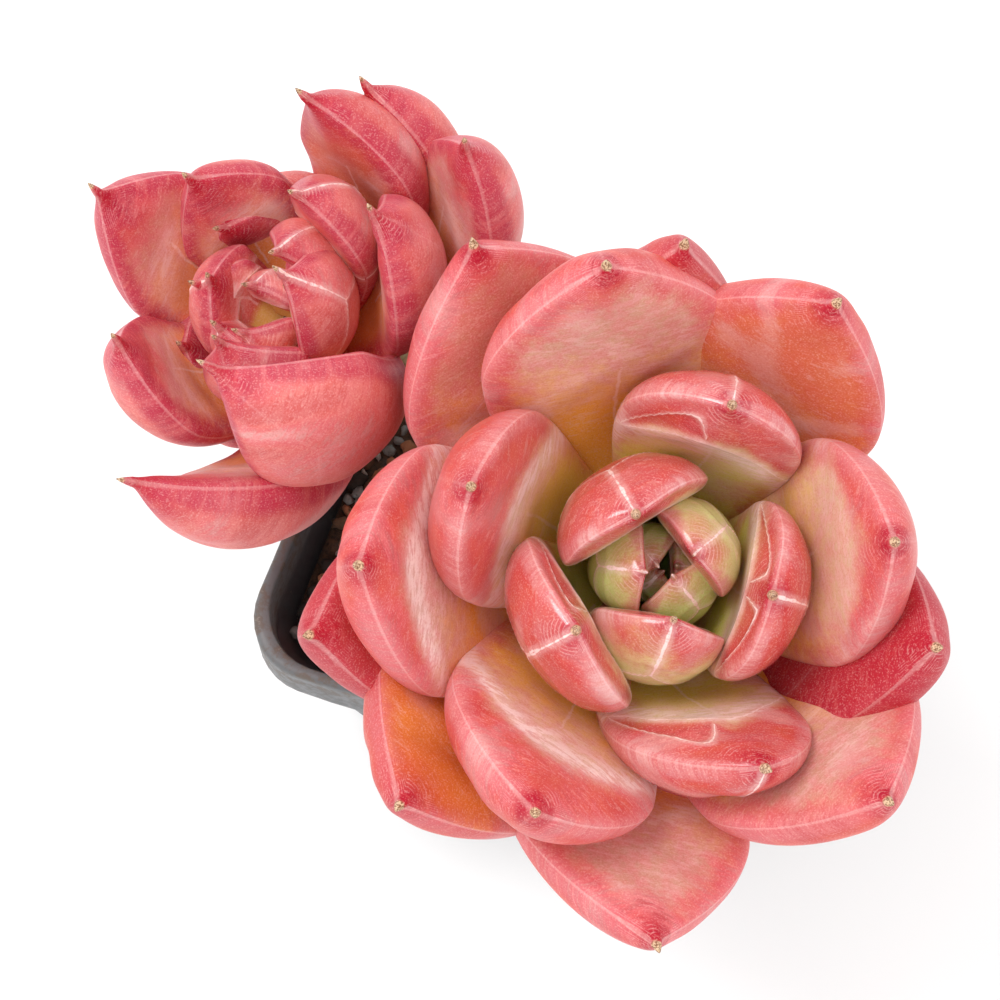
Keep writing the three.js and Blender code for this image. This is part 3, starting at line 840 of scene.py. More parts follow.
def leaf_material(name, colours, rosiness, edging):
    """Waxy flesh that lets light through: green-gold at the root, coral to crimson at the point. The bright
    root and the amber of warm leaves are painted glow of light through the leaves, and the pale bloom and
    lines carry painted sheen and highlights.
    """
    paint = Paint(name)
    mix, step, times, plus, most = paint.mix, paint.step, paint.times, paint.plus, paint.most
    at = SimpleNamespace()
    for key, names in CARRIED.items():
        apart = paint.node("ShaderNodeSeparateXYZ", {0: paint.attribute(key, "Vector")})
        vars(at).update(zip(names, apart))
    skin = paint.attribute("leaf_place", "Vector")
    stretched = {0: skin, 1: (0.55, 2.0, 1.0)}
    streaks = paint.node("ShaderNodeVectorMath", stretched, operation="MULTIPLY")[0]
    mottle = paint.noise(skin, 0.5, 3.0, 0.65)
    brush = paint.noise(streaks, 0.8, 3.0, 0.75)
    specks = paint.noise(paint.spots(), 5200.0, 1.0, 0.5)
    patchy = paint.minus(mottle, 0.5)
    lumps = plus(at.cloud, times(paint.minus(brush, 0.5), 3.0))

    # Root and face: a root in amber when grown and lime when young, its own colour made bright as a painted
    # glow of light through the packed leaves, then a face that is pale green when young and beige when
    # grown
    root = mix(at.young, colours.amber, colours.lime)
    root = mix(rosiness, root, colours.rose)
    root = mix(at.tender, root, colours.sprout)
    face = mix(at.young, colours.beige, colours.pale_green)
    rosy = times(step(mottle, 0.36, 0.62, 0.06, 0.5), step(at.young, 0.1, 0.9, 1.0, 0.3))
    face = mix(rosy, face, colours.rose)
    face = mix(step(brush, 0.4, 0.64, 0.06, 0.42), face, colours.bloom)
    face = mix(rosiness, face, colours.lilac)
    # Painted glow: the amber low on the face of the warmest leaves stands for light shining through them
    painted_glow = times(step(at.warmth, 0.7, 1.0), step(at.along, 1.0, 0.8))
    face = mix(at.warmth, face, mix(painted_glow, colours.orange, colours.amber))
    face = mix(times(at.tender, 0.85), face, colours.sprout)
    base = mix(step(plus(at.along, times(patchy, 0.3)), 0.42, 0.74), root, face)

    # The flush: coral, pinker where the clouds are thick and by the edge, scarlet where it thins
    pinker = step(plus(at.cloud, times(patchy, 3.0)), -1.0, 1.2)
    coral = mix(times(pinker, 0.75), colours.coral, colours.rose)
    coral = mix(step(at.margin, 2.2, 0.2, 0.0, 0.6), coral, colours.rose)
    coral = mix(rosiness, coral, colours.rose)
    coral = mix(times(at.young, 0.55), coral, colours.scarlet)
    streak = times(step(brush, 0.46, 0.62), step(at.cloud, -0.3, 0.9, 0.05, 0.95))
    coral = mix(streak, coral, colours.scarlet)
    coral = mix(step(lumps, -0.2, -1.4, 0.0, 0.55), coral, colours.scarlet)
    flushed = step(plus(at.flush, times(patchy, 4.0), at.cloud), -3.0, 2.4, 0.0, 0.94)
    flushed = times(flushed, step(at.tender, 0.85, 1.0, 1.0, 0.1))
    colour = mix(most(flushed, times(at.blush, 0.9)), base, coral)

    # The powdery bloom with painted sheen in its whitish streaks, redder edges and points, and the dark
    # halo round each point
    powder_and_sheen = times(at.bloom, step(brush, 0.36, 0.58, 0.2, 1.0))
    powder_and_sheen = plus(powder_and_sheen, step(brush, 0.45, 0.34, 0.0, 0.26), step(lumps, 0.3, 1.5, 0.0, 0.36))
    powder_and_sheen = times(powder_and_sheen, step(at.along, 0.2, 0.42), step(at.tip_near, 2.0, 8.0, 0.35, 1.0))
    # The powder's colour, for wax bloom and painted sheen alike
    wax = mix(step(at.bloom, 0.35, 0.9), colours.bloom, colours.line)
    colour = mix(powder_and_sheen, colour, wax)
    edge = most(step(at.margin, 3.4, 0.9), step(at.tip_near, 9.0, 3.0))
    edge = times(edge, step(plus(mottle, brush), 0.75, 1.15, 0.5, 1.0))
    colour = mix(times(edge, most(edging, times(at.tender, 0.6))), colour, colours.edge)
    halo = step(plus(at.tip_near, times(mottle, 3.0)), 5.0, 2.2)
    colour = mix(times(halo, step(brush, 0.3, 0.6, 0.45, 1.0)), colour, colours.crimson)
    colour = mix(times(at.blush, step(brush, 0.3, 0.6, 0.7, 0.95)), colour, colours.crimson)
    in_facet = paint.math("MINIMUM", at.ridge, times(at.facet, -1.0))
    colour = mix(step(in_facet, 0.0, 1.4, 0.0, 0.7), colour, coral)

    # Fine waves round the point and by the margin
    nearest = paint.math("MINIMUM", at.tip_reach, times(at.margin, 1.8))
    waved = paint.apply("SINE", plus(times(nearest, 12.0), times(at.cloud, 3.0)))
    waves = times(step(waved, 0.35, 1.0), step(at.tip_reach, 7.0, 2.5, 0.03, 0.24))
    colour = mix(times(waves, step(mottle, 0.46, 0.6)), colour, colours.line)

    # Pale raised lines, broken where the skin has smoothed out. They double as painted highlights along the
    # creases, and the faint line along each leaf's rim is a painted rim glint.
    wander = times(patchy, 0.9)
    drawn = times(paint.line(at.rib, wander, 0.26), 0.4)
    for crease in (at.keel, at.facet, at.ridge):
        soft = times(paint.line(crease, wander, 0.9), 0.3)
        drawn = most(drawn, times(at.imprint, most(paint.line(crease, wander, 0.22), soft)))
    drawn = times(drawn, step(brush, 0.34, 0.5, 0.4, 1.0))
    colour = mix(most(drawn, times(paint.line(at.rim, 0.0, 0.2), 0.2)), colour, colours.line)
    colour = mix(step(specks, 0.52, 0.72, 0.0, 0.24), colour, colours.bloom)
    colour = mix(step(specks, 0.46, 0.28, 0.0, 0.2), colour, colours.scarlet)

    # The dry point
    dry = step(plus(at.dryness, times(patchy, 0.4)), -0.1, 0.15)
    husk = mix(step(specks, 0.35, 0.65), colours.husk, colours.husk_pale)
    paint.shader.subsurface_method = "BURLEY"
    return paint.finish(
        Base_Color=mix(dry, colour, husk),
        Roughness=plus(step(at.young, 0.2, 0.9, 0.42, 0.18), times(dry, 0.35)),
        IOR=1.4,
        Specular_IOR_Level=step(at.young, 0.2, 0.9, 0.2, 0.85),
        Subsurface_Weight=0.25,
        Subsurface_Scale=0.003,
        Subsurface_Radius=(1.0, 0.35, 0.14),
    )


def pot_material(colours):
    """Soft nursery plastic: faint mould marks, scuffs, and dried splashes near the rim."""
    paint = Paint("pot_plastic")
    spots = paint.spots()
    cloud = paint.noise(spots, 45.0, 4.0, 0.6)
    scuffs = paint.noise(spots, 700.0, 4.0, 0.7)
    height = paint.node("ShaderNodeSeparateXYZ", {0: spots})[2]
    stained = paint.plus(height, paint.times(cloud, 0.012))
    colour = paint.mix(paint.step(cloud, 0.35, 0.7), colours.plastic, colours.plastic_pale)
    splash = paint.times(paint.step(stained, 0.052, 0.059), paint.step(scuffs, 0.45, 0.6), 0.6)
    colour = paint.mix(splash, colour, colours.dirt)
    colour = paint.mix(paint.step(scuffs, 0.62, 0.75, 0.0, 0.35), colour, colours.dust)
    dents = paint.bump(cloud, 0.0006, 0.5, paint.bump(scuffs, 0.00008, 0.6))
    rough = paint.step(scuffs, 0.3, 0.7, 0.38, 0.6)
    return paint.finish(Base_Color=colour, Roughness=rough, Normal=dents, IOR=1.49)


def mix_material(colours):
    """Damp potting mix between the grains."""
    paint = Paint("potting_mix")
    spots = paint.spots()
    crumbs = paint.noise(spots, 900.0, 6.0, 0.75)
    patches = paint.noise(spots, 120.0, 3.0, 0.5)
    colour = paint.mix(paint.step(crumbs, 0.35, 0.7), colours.peat, colours.bark)
    colour = paint.mix(paint.step(patches, 0.55, 0.7, 0.0, 0.4), colour, colours.dust)
    return paint.finish(Base_Color=colour, Roughness=0.95, Normal=paint.bump(crumbs, 0.0006, 0.9))


def grain_material(colours):
    """Grains of pumice, grit, fired clay, bark and peat, told apart by their tone."""
    paint = Paint("potting_grains")
    spots = paint.spots()
    tone = paint.attribute("tone")
    pits = paint.noise(spots, 1600.0, 5.0, 0.75)
    colour = colours.pumice
    kinds = ((0.28, colours.grit), (0.5, colours.clay), (0.62, colours.bark), (0.82, colours.peat))
    for share, kind in kinds:
        colour = paint.mix(paint.step(tone, share, share + 0.02), colour, kind)
    colour = paint.mix(paint.step(pits, 0.5, 0.3, 0.0, 0.6), colour, colours.peat)
    return paint.finish(Base_Color=colour, Roughness=0.9, Normal=paint.bump(pits, 0.0003, 0.8))


def stem_material(colours):
    """Dry corky bark with greener patches."""
    paint = Paint("stem_bark")
    spots = paint.spots()
    cork = paint.noise(spots, 500.0, 6.0, 0.7, 0.8)
    patches = paint.noise(spots, 90.0, 3.0, 0.5)
    colour = paint.mix(paint.step(cork, 0.35, 0.65), colours.stem_dark, colours.stem)
    colour = paint.mix(paint.step(patches, 0.5, 0.7, 0.0, 0.5), colour, colours.stem_green)
    colour = paint.mix(paint.step(cork, 0.62, 0.75, 0.0, 0.5), colour, colours.dust)
    return paint.finish(Base_Color=colour, Roughness=0.85, Normal=paint.bump(cork, 0.0005, 0.9))


# What a user would change


def a_colour(name, description, value):
    """A colour a user can pick, in linear values."""
    return FloatVectorProperty(
        name=name, description=description, default=value, size=3, min=0.0, max=1.0, subtype="COLOR"
    )


def a_length(name, description, millimetres):
    """A length a user can change."""
    return FloatProperty(name=name, description=description, default=millimetres * MM, unit="LENGTH")


def a_share(name, description, value):
    """A share a user can change."""
    return FloatProperty(name=name, description=description, default=value, subtype="FACTOR")


def an_angle(name, description, degrees):
    """An angle a user can change."""
    return FloatProperty(
        name=name, description=description, default=math.radians(degrees), subtype="ANGLE"
    )


class LeafColours(bpy.types.PropertyGroup):
    """Colours of the leaves of both heads."""

    # Lime: the young root's own colour, made bright as painted glow of light through the heart's packed
    # leaves
    lime: a_colour("Lime", "Root of a young leaf", (0.66, 0.7, 0.12))
    sprout: a_colour("Sprout", "Leaves of the heart", (0.46, 0.62, 0.17))
    pale_green: a_colour("Pale green", "Face of a young leaf", (0.76, 0.7, 0.3))
    # Amber: the grown root's own colour, made bright as painted glow of light through the leaves
    amber: a_colour("Amber", "Root of a grown leaf", (0.88, 0.36, 0.03))
    beige: a_colour("Beige", "Face of a grown leaf", (0.52, 0.25, 0.14))
    coral: a_colour("Coral", "Flushed skin", (0.68, 0.105, 0.06))
    rose: a_colour("Rose", "Pinker flushed skin", (0.7, 0.12, 0.15))
    scarlet: a_colour("Scarlet", "Streaks in the flushed skin", (0.5, 0.02, 0.03))
    orange: a_colour("Orange", "Face of a sun-warmed leaf", (0.62, 0.1, 0.02))
    edge: a_colour("Edge", "Reddened edge of a leaf", (0.46, 0.014, 0.055))
    crimson: a_colour("Crimson", "Round the point, and sun-burnt leaves", (0.42, 0.01, 0.03))
    lilac: a_colour("Lilac", "Cooler pink of the face", (0.72, 0.31, 0.35))
    # Bloom: powdery wax, also the colour of painted sheen
    bloom: a_colour("Bloom", "Powdery wax on the skin", (0.82, 0.52, 0.48))
    # Line: pale raised lines, also the colour of painted highlights on the creases
    line: a_colour("Line", "Raised lines left by the bud", (0.9, 0.68, 0.64))
    husk: a_colour("Husk", "Dry point of a leaf", (0.24, 0.11, 0.06))
    husk_pale: a_colour("Pale husk", "Paler crust of the dry point", (0.7, 0.5, 0.33))


class LeafDetail(bpy.types.PropertyGroup):
    """How finely the leaves are made, and how pink each head is."""

    sides: IntProperty(name="Sides", description="Points round a leaf", default=88, min=16)
    rings: IntProperty(name="Rings", description="Rings along a leaf", default=72, min=20)
    main_rosiness: a_share("Main rosiness", "How rosy the main head is", 0.15)
    side_rosiness: a_share("Side rosiness", "How rosy the side head is", 0.4)
    main_edging: a_share("Main edging", "How red the main head's leaf edges are", 0.25)
    side_edging: a_share("Side edging", "How red the side head's leaf edges are", 0.85)


class PotSizes(bpy.types.PropertyGroup):
    """Sizes of the pot, besides its height and sides."""

    wall: a_length("Wall", "Thickness of its wall", 1.2)
    floor: a_length("Floor", "Thickness of its floor", 1.6)
    band: a_length("Band", "Height of the band under its rim", 11)
    band_step: a_length("Band step", "How far the band stands out", 0.9)
    corner: a_length("Corner", "Radius of its corners at the rim", 8)
    drain: a_length("Drain", "Radius of its drain holes", 2.6)
    turn: an_angle("Turn", "Turn about the upright axis", -20)
    waviness: a_length("Waviness", "How much the soft wall has warped", 0.4)


class MixSizes(bpy.types.PropertyGroup):
    """Sizes of the potting mix and its grains."""

    below_rim: a_length("Below the rim", "Depth of its edge under the rim", MIX_BELOW_RIM)
    mound: a_length("Mound", "Height of its mound", 2.4)
    roughness: a_length("Roughness", "Height of its lumps", 0.45)
    spacing: a_length("Grain spacing", "Least distance of two grains", 1.3)
    smallest: a_length("Smallest grain", "Radius of the smallest", 0.5)
    largest: a_length("Largest grain", "Radius of the largest", 1.6)
    seed: IntProperty(name="Seed", description="Seed of the grains", default=4)


class PotColours(bpy.types.PropertyGroup):
    """Colours of the pot, its filling and the stem."""

    plastic: a_colour("Plastic", "Wall of the pot", (0.09, 0.094, 0.1))
    plastic_pale: a_colour("Pale plastic", "Faded patches of the wall", (0.15, 0.154, 0.156))
    dirt: a_colour("Dirt", "Dried splashes by the rim", (0.12, 0.075, 0.045))
    dust: a_colour("Dust", "Dust and scuffs", (0.42, 0.38, 0.33))
    peat: a_colour("Peat", "Dark potting mix", (0.022, 0.015, 0.01))
    bark: a_colour("Bark", "Bark in the potting mix", (0.11, 0.06, 0.03))
    pumice: a_colour("Pumice", "Pale grains", (0.34, 0.32, 0.29))
    grit: a_colour("Grit", "Grey grains", (0.2, 0.2, 0.19))
    clay: a_colour("Clay", "Fired clay grains", (0.32, 0.13, 0.06))
    stem: a_colour("Stem", "Cork of the stem", (0.36, 0.27, 0.16))
    stem_dark: a_colour("Dark stem", "Cracks in the cork", (0.14, 0.09, 0.05))
    stem_green: a_colour("Green stem", "Young patches of the stem", (0.28, 0.27, 0.1))


class StageSettings(bpy.types.PropertyGroup):
    """The floor, the light and the camera."""

    floor_side: a_length("Floor", "Side of the floor", 6000)
    floor_colour: a_colour("Floor colour", "Colour of the floor", (0.9, 0.9, 0.9))
    sky: FloatProperty(name="Sky", description="Strength of the light from all around", default=1.2)
    key: FloatProperty(name="Key light", description="Power of the main lamp", default=2.2, unit="POWER")
    fill: FloatProperty(name="Fill light", description="Power of the other lamp", default=0.6, unit="POWER")
    elevation: an_angle("Elevation", "Camera's height above the horizon", 72)
    distance: a_length("Distance", "From the camera to its target", 255)
    lens: FloatProperty(name="Lens", description="Focal length in millimetres", default=85.0)


def in_millimetres(settings, *names):
    """Those lengths of a group of settings, in millimetres."""
    return [getattr(settings, name) / MM for name in names]


# The heads


def head_matrix(head):
    """A head's own frame: Z along its axis, X to the right as seen by someone facing +Y."""
    right = (Vector((1, 0, 0)) - head.axis * head.axis.x).normalized()
    matrix = Matrix((right, head.axis.cross(right), head.axis)).transposed().to_4x4()
    matrix.translation = head.apex * MM
    return matrix


def leaf_collection(head, numbers, detail):
    """A collection with the leaves of those numbers, each in its own frame."""
    leaves = bpy.data.collections.new(head.name + "_leaves")
    for number in numbers:
        name = f"{head.name}_leaf_{number:02d}"
        leaf = nudged_leaf(head, number)
        rng = np.random.default_rng(FIRST_LEAF_SEED + number)
        at = leaf_places(leaf, detail.sides, detail.rings)
        add_creases(leaf, at, rng)
        mesh = closed_tube(name, leaf_points(leaf, at, rng), leaf_values(leaf, at, rng))
        leaves.objects.link(bpy.data.objects.new(name, mesh))
    return leaves


def root_points(head, numbers):
    """An object with one point for each leaf, which carries its number and its turn."""
    mesh = bpy.data.meshes.new("roots")
    mesh.from_pydata([(0, 0, 0)] * len(numbers), [], [])
    turns = [math.radians(head.nudges.get(number, {}).get("turn", 0)) for number in numbers]
    for key, values in (("leaf_number", numbers), ("turn", turns)):
        mesh.attributes.new(key, "FLOAT", "POINT").data.foreach_set("value", np.float32(values))
    return place("roots", mesh)


class ECHEVERIA_OT_head(bpy.types.Operator):
    """Grow one of the two heads: its heart and its open crown"""

    bl_idname = "echeveria.head"
    bl_label = "Grow a head"

    head_name: StringProperty(name="Head", description="Which head: main or side", default="main")

    def execute(self, context):
        scene = context.scene
        head = HEADS[self.head_name]
        detail = scene.echeveria_leaves
        rosiness = getattr(detail, head.name + "_rosiness")
        edging = getattr(detail, head.name + "_edging")
        skin = leaf_material(
            head.name + "_leaf_skin", scene.echeveria_leaf_colours, rosiness, edging
        )
        tree = rosette_tree()
        heart = [number for number in head.numbers if number < head.heart_leaves]
        crown = [number for number in head.numbers if number >= head.heart_leaves]
        for part, numbers in (("heart", heart), ("crown", crown)):
            self.grow_leaves(f"{head.name}_{part}", head, numbers, tree, skin, detail)
        return {"FINISHED"}

    def grow_leaves(self, name, head, numbers, tree, skin, detail):
        """Grows the leaves of those numbers into one piece of the head."""
        leaves = leaf_collection(head, numbers, detail)
        sizes = {
            "Leaves": leaves,
            "Golden Angle": math.radians(GOLDEN_ANGLE),
            "First Azimuth": math.radians(head.first_azimuth),
            "Root Radius": head.root_radius[0] * MM,
            "Root Radius Step": head.root_radius[1] * MM,
            "Root Drop": head.root_drop[0] * MM,
            "Root Drop Step": head.root_drop[1] * MM,
            "Material": skin,
        }
        piece = grow(name, root_points(head, numbers), tree, sizes)
        discard(leaves)
        piece.data.transform(head_matrix(head))
        hand_over(piece, head.slot, head.node)


# The pot


def pot_half_side(z, pot):
    """Half the side of the pot's outer wall at that height, in millimetres."""
    inner_rim = RIM_SIDE - 2 * pot.band_step / MM
    return (BASE_SIDE + (inner_rim - BASE_SIDE) * z / POT_HEIGHT) / 2


def squared_rings(profile, corner):
    """Rings of a turned profile made square, with rounded corners, in millimetres."""
    arc = np.exp(1j * np.linspace(0, math.pi / 2, CORNER_POINTS))
    side = 1 - 2 * np.arange(1, SIDE_POINTS) / SIDE_POINTS
    rings = []
    for reach, z in profile:
        radius = min(corner * (0.7 + 0.3 * z / POT_HEIGHT), reach * 0.9)
        centre = reach - radius
        quarter = np.concatenate([centre * (1 + 1j) + radius * arc, centre * side + 1j * reach])
        ring = np.concatenate([quarter * 1j**turn for turn in range(4)])
        rings.append(np.stack([ring.real, ring.imag, np.full(ring.shape, z)], -1))
    return np.array(rings)


def pot_profile(pot):
    """Half sides and heights of the pot's skin, from the middle of its underside to its floor."""
    wall, floor, band, step = in_millimetres(pot, "wall", "floor", "band", "band_step")
    top = POT_HEIGHT
    band_foot = top - band
    rim = RIM_SIDE / 2
    inner = rim - wall
    foot, under_band, inside = (pot_half_side(z, pot) for z in (0, band_foot, floor))
    outer_wall = [0.8, *np.linspace(4, band_foot - 0.6, 12), band_foot]
    band_face = [*np.linspace(band_foot + 3, top - 1.6, 5), top - LIP]
    inner_band = [top - 3, top - 6, band_foot + 2 * wall]
    inner_wall = np.linspace(band_foot, floor + 2, 10)
    profile = [(2, 0), (10, 0), (foot - 2.4, 0), (foot - 0.8, 0), (foot - 0.25, 0.25)]
    profile += [(pot_half_side(z, pot), z) for z in outer_wall]
    profile += [(under_band + 0.5 * step, band_foot + 0.25)]
    profile += [(rim - LIP, band_foot + step), (rim - 0.1, band_foot + 2 * step)]
    profile += [(rim, z) for z in band_face]
    profile += [(rim - 0.15, top - 0.12), (rim - LIP, top)]
    profile += [(inner, top), (inner - 0.2, top - 0.15), (inner - 0.3, top - 0.5)]
    profile += [(inner - 0.5, z) for z in inner_band]
    profile += [(pot_half_side(z, pot) - wall, z) for z in inner_wall]
    profile += [(inside - wall - 0.3, floor), (inside - wall - 3, floor), (10, floor), (2, floor)]
    return profile


def warped(rings, amount):
    """The rings with the soft wall bent out of true, most at the rim and not at all at the foot."""
    x, y, z = np.moveaxis(rings, -1, 0)
    angle = np.arctan2(y, x)
    wave = np.sin(5 * angle + 0.7) + 0.6 * np.sin(9 * angle + 2.0) - 1.0
    scale = 1 + amount * (z / POT_HEIGHT) ** 2 * wave / np.hypot(x, y)
    return np.stack([x * scale, y * scale, z], -1)


def drill(radius, x, y):
    """A round cutter through the pot's floor at that place."""
    turn = 2 * math.pi * np.arange(DRAIN_SIDES) / DRAIN_SIDES
    circle = [x + radius * np.cos(turn), y + radius * np.sin(turn)]
    rings = np.array([np.stack([*circle, np.full(DRAIN_SIDES, z)], -1) for z in DRILL_HEIGHTS])
    return place("drill", closed_tube("drill", rings))


class ECHEVERIA_OT_pot(bpy.types.Operator):
    """Mould the square nursery pot with its band, rim and drain holes"""

    bl_idname = "echeveria.pot"
    bl_label = "Mould the pot"

    def execute(self, context):
        sizes = context.scene.echeveria_pot
        corner, drain, waviness = in_millimetres(sizes, "corner", "drain", "waviness")
        rings = warped(squared_rings(pot_profile(sizes), corner), waviness)
        pot = place("pot_shell", closed_tube("pot_body", rings))
        for x, y in ((1, 1), (-1, 1), (-1, -1), (1, -1)):
            cutter = drill(drain, x * DRAIN_OFFSET, y * DRAIN_OFFSET)
            cut = pot.modifiers.new("Drain", "BOOLEAN")
            cut.object = cutter
            cut.operation = "DIFFERENCE"
            cut.solver = "EXACT"
            graph = context.evaluated_depsgraph_get()
            mesh = bpy.data.meshes.new_from_object(pot.evaluated_get(graph), depsgraph=graph)
            pot.modifiers.remove(cut)
            pot.data = mesh
            bpy.data.objects.remove(cutter)
        pot.data.transform(Matrix.Rotation(sizes.turn, 4, "Z"))
        pot.data.materials.clear()
        pot.data.materials.append(pot_material(context.scene.echeveria_pot_colours))
        pot.data.shade_smooth()
        pot.data.set_sharp_from_angle(angle=SHARP_EDGE)
        hand_over(pot, "pot_plastic", "pot")
        return {"FINISHED"}


# The potting mix


def mix_surface(x, y, sizes):
    """Height of the mix's surface, in millimetres."""
    below_rim, mound, roughness = in_millimetres(sizes, "below_rim", "mound", "roughness")
    heap = mound * (1 - rise(np.hypot(x, y), 0, RIM_SIDE / 2))
    lumps = np.sin(x * 0.9 + 1) * np.cos(y * 0.8) + np.sin(x * 0.37 - y * 0.61)
    return POT_HEIGHT - below_rim + heap + roughness * lumps


def mix_body(sizes, pot):
    """The mix itself, a closed body inside the pot."""
    wall, floor, band, corner = in_millimetres(pot, "wall", "floor", "band", "corner")
    floor += FIT
    band_foot = POT_HEIGHT - band
    edge = POT_HEIGHT - sizes.below_rim / MM
    foot_half, half = (pot_half_side(z, pot) - wall - 2 * FIT for z in (floor, band_foot))
    profile = [(2, floor), (foot_half - 0.4, floor), (half, band_foot - FIT), (half, edge - 1)]
    profile += [(half * share, edge) for share in np.linspace(0.98, 0.05, MIX_EDGE_RINGS)]
    rings = squared_rings(profile, corner - wall)
    rings[:, :, :2] = rings[:, :, :2] @ np.array(Matrix.Rotation(pot.turn, 2).transposed())
    x, y, z = np.moveaxis(rings, -1, 0)
    rings[:, :, 2] = np.where(z > edge - 0.1, mix_surface(x, y, sizes), z)
    return place("potting_mix_body", closed_tube("potting_mix_body", rings))


def mix_top(sizes, pot):
    """The mix's open surface, which carries where grains may lie."""
    wall, band = in_millimetres(pot, "wall", "band")
    half = pot_half_side(POT_HEIGHT - band, pot) - wall - GRAINS_FROM_WALL
    count = GRAIN_FIELD_POINTS
    ticks = np.linspace(-half, half, count)
    u, v = np.meshgrid(ticks, ticks, indexing="ij")
    cos, sin = math.cos(pot.turn), math.sin(pot.turn)
    x, y = u * cos - v * sin, u * sin + v * cos
    points = np.stack([x, y, mix_surface(x, y, sizes)], -1).reshape(-1, 3) * MM
    corners = [row * count + column for row in range(count - 1) for column in range(count - 1)]
    faces = [(corner, corner + count, corner + count + 1, corner + 1) for corner in corners]
    mesh = bpy.data.meshes.new("mix_top")
    mesh.from_pydata(points.tolist(), [], faces)
    clear = np.hypot(x - TRUNK.x, y - TRUNK.y) > TRUNK.radius + GRAINS_FROM_TRUNK
    into_corner = [np.maximum(np.abs(across) - half + GRAIN_FIELD_CORNER, 0) for across in (u, v)]
    open_soil = clear & (np.hypot(*into_corner) < GRAIN_FIELD_CORNER + 0.2)
    attribute = mesh.attributes.new("open_soil", "FLOAT", "POINT")
    attribute.data.foreach_set("value", open_soil.astype(np.float32).reshape(-1))
    return place("mix_top", mesh)


def rough_grains():
    """Rough grains of one millimetre in radius, in a collection."""
    rng = random.Random(GRAIN_SHAPE_SEED)
    grains = bpy.data.collections.new("grains")
    for number, flatness in enumerate(GRAIN_FLATNESS):
        work = bmesh.new()
        bmesh.ops.create_icosphere(work, subdivisions=2, radius=MM)
        for vertex in work.verts:
            vertex.co *= rng.uniform(0.72, 1.12)
            vertex.co.z *= flatness
        mesh = bpy.data.meshes.new(f"grain_{number}")
        work.to_mesh(mesh)
        work.free()
        grains.objects.link(bpy.data.objects.new(f"grain_{number}", mesh))
    return grains


class ECHEVERIA_OT_mix(bpy.types.Operator):
    """Fill the pot with potting mix and strew its grains"""

    bl_idname = "echeveria.mix"
    bl_label = "Fill the pot"

    def execute(self, context):
        scene = context.scene
        sizes = scene.echeveria_mix
        body = mix_body(sizes, scene.echeveria_pot)
        body.data.materials.append(mix_material(scene.echeveria_pot_colours))
        grains = rough_grains()
        values = {
            "Grains": grains,
            "Spacing": sizes.spacing,
            "Density": GRAIN_DENSITY,
            "Smallest": sizes.smallest / MM,
            "Largest": sizes.largest / MM,
            "Seed": sizes.seed,
            "Material": grain_material(scene.echeveria_pot_colours),
        }
        top = mix_top(sizes, scene.echeveria_pot)
        strewn = grow("potting_grains", top, scatter_tree(), values)
        discard(grains)
        hand_over(body, "potting_mix", "potting_mix")
        hand_over(strewn, "potting_mix")
        return {"FINISHED"}


# The stem


def limb_line(name, head):
    """The line of one limb, from the root crown through the fork into the head's core."""
    seat = head.apex - head.axis * (head.core_bottom + FIT)
    neck = seat - head.axis * BRANCH_RISE
    foot = Vector((TRUNK.x, TRUNK.y, POT_HEIGHT - MIX_BELOW_RIM - TRUNK.depth))
    fork = Vector((TRUNK.x, TRUNK.y, TRUNK.fork))
    bend = fork + Vector((0, 0, BRANCH_RISE))
    places = [(foot, TRUNK.radius), (foot.lerp(fork, 0.5), TRUNK.radius)]
    for step in range(BRANCH_STEPS + 1):
        t = step / BRANCH_STEPS
        s = 1 - t
        spot = fork * s**3 + bend * 3 * s * s * t + neck * 3 * s * t * t + seat * t**3
        places.append((spot, TRUNK.radius + (BRANCH_RADIUS - TRUNK.radius) * t))
    for share, radius in ((0.9, 1.0), (0.6, 0.92), (0.25, 0.5), (0.1, 0.25)):
        places.append((head.apex - head.axis * head.core_bottom * share, head.core_radius * radius))
    curve = bpy.data.curves.new(name, "CURVE")
    curve.dimensions = "3D"
    spline = curve.splines.new("POLY")
    spline.points.add(len(places) - 1)
    for point, (spot, radius) in zip(spline.points, places):
        point.co = (*(spot * MM), 1.0)
        point.radius = radius * MM
    return place(name, curve)


def leaf_scar():
    """A flat raised lens on a stem of unit radius, where a leaf has dropped."""
    turn = 2 * math.pi * np.arange(SCAR_SIDES) / SCAR_SIDES
    rings = []
    for share, height in ((1.0, 0.97), (0.85, 1.03), (0.6, 1.04), (0.45, 1.0), (0.1, 0.99)):
        side = 0.42 * share * np.cos(turn)
        tall = 0.2 * share * np.sin(turn)
        rings.append(np.stack([height * np.cos(side), np.sin(side) * height, tall], -1))
    rings.insert(0, rings[0] * np.array([0.9, 1, 1]))
    return place("scar", closed_tube("scar", np.array(rings)))


class ECHEVERIA_OT_stem(bpy.types.Operator):
    """Grow the forked stem with the scars of old leaves"""

    bl_idname = "echeveria.stem"
    bl_label = "Grow the stem"

    def execute(self, context):
        tree = stem_tree()
        scar = leaf_scar()
        values = {
            "Scar": scar,
            "Sides": STEM_SIDES,
            "Scar Spacing": SCAR_SPACING * MM,
            "Roughness": STEM_ROUGHNESS * MM,
            "Material": stem_material(context.scene.echeveria_pot_colours),
        }
        for name, head in HEADS.items():
            limb = grow(name + "_limb", limb_line(name + "_line", head), tree, values)
            hand_over(limb, "stem_bark", "stem")
        bpy.data.objects.remove(scar)
        return {"FINISHED"}


# The stage


def set_up(name, data, location):
    """A lamp or camera at that place, turned to the plant."""
    thing = place(name, data)
    thing.location = location
    thing.rotation_euler = (CAMERA_TARGET - thing.location).to_track_quat("-Z", "Y").to_euler()
    return thing


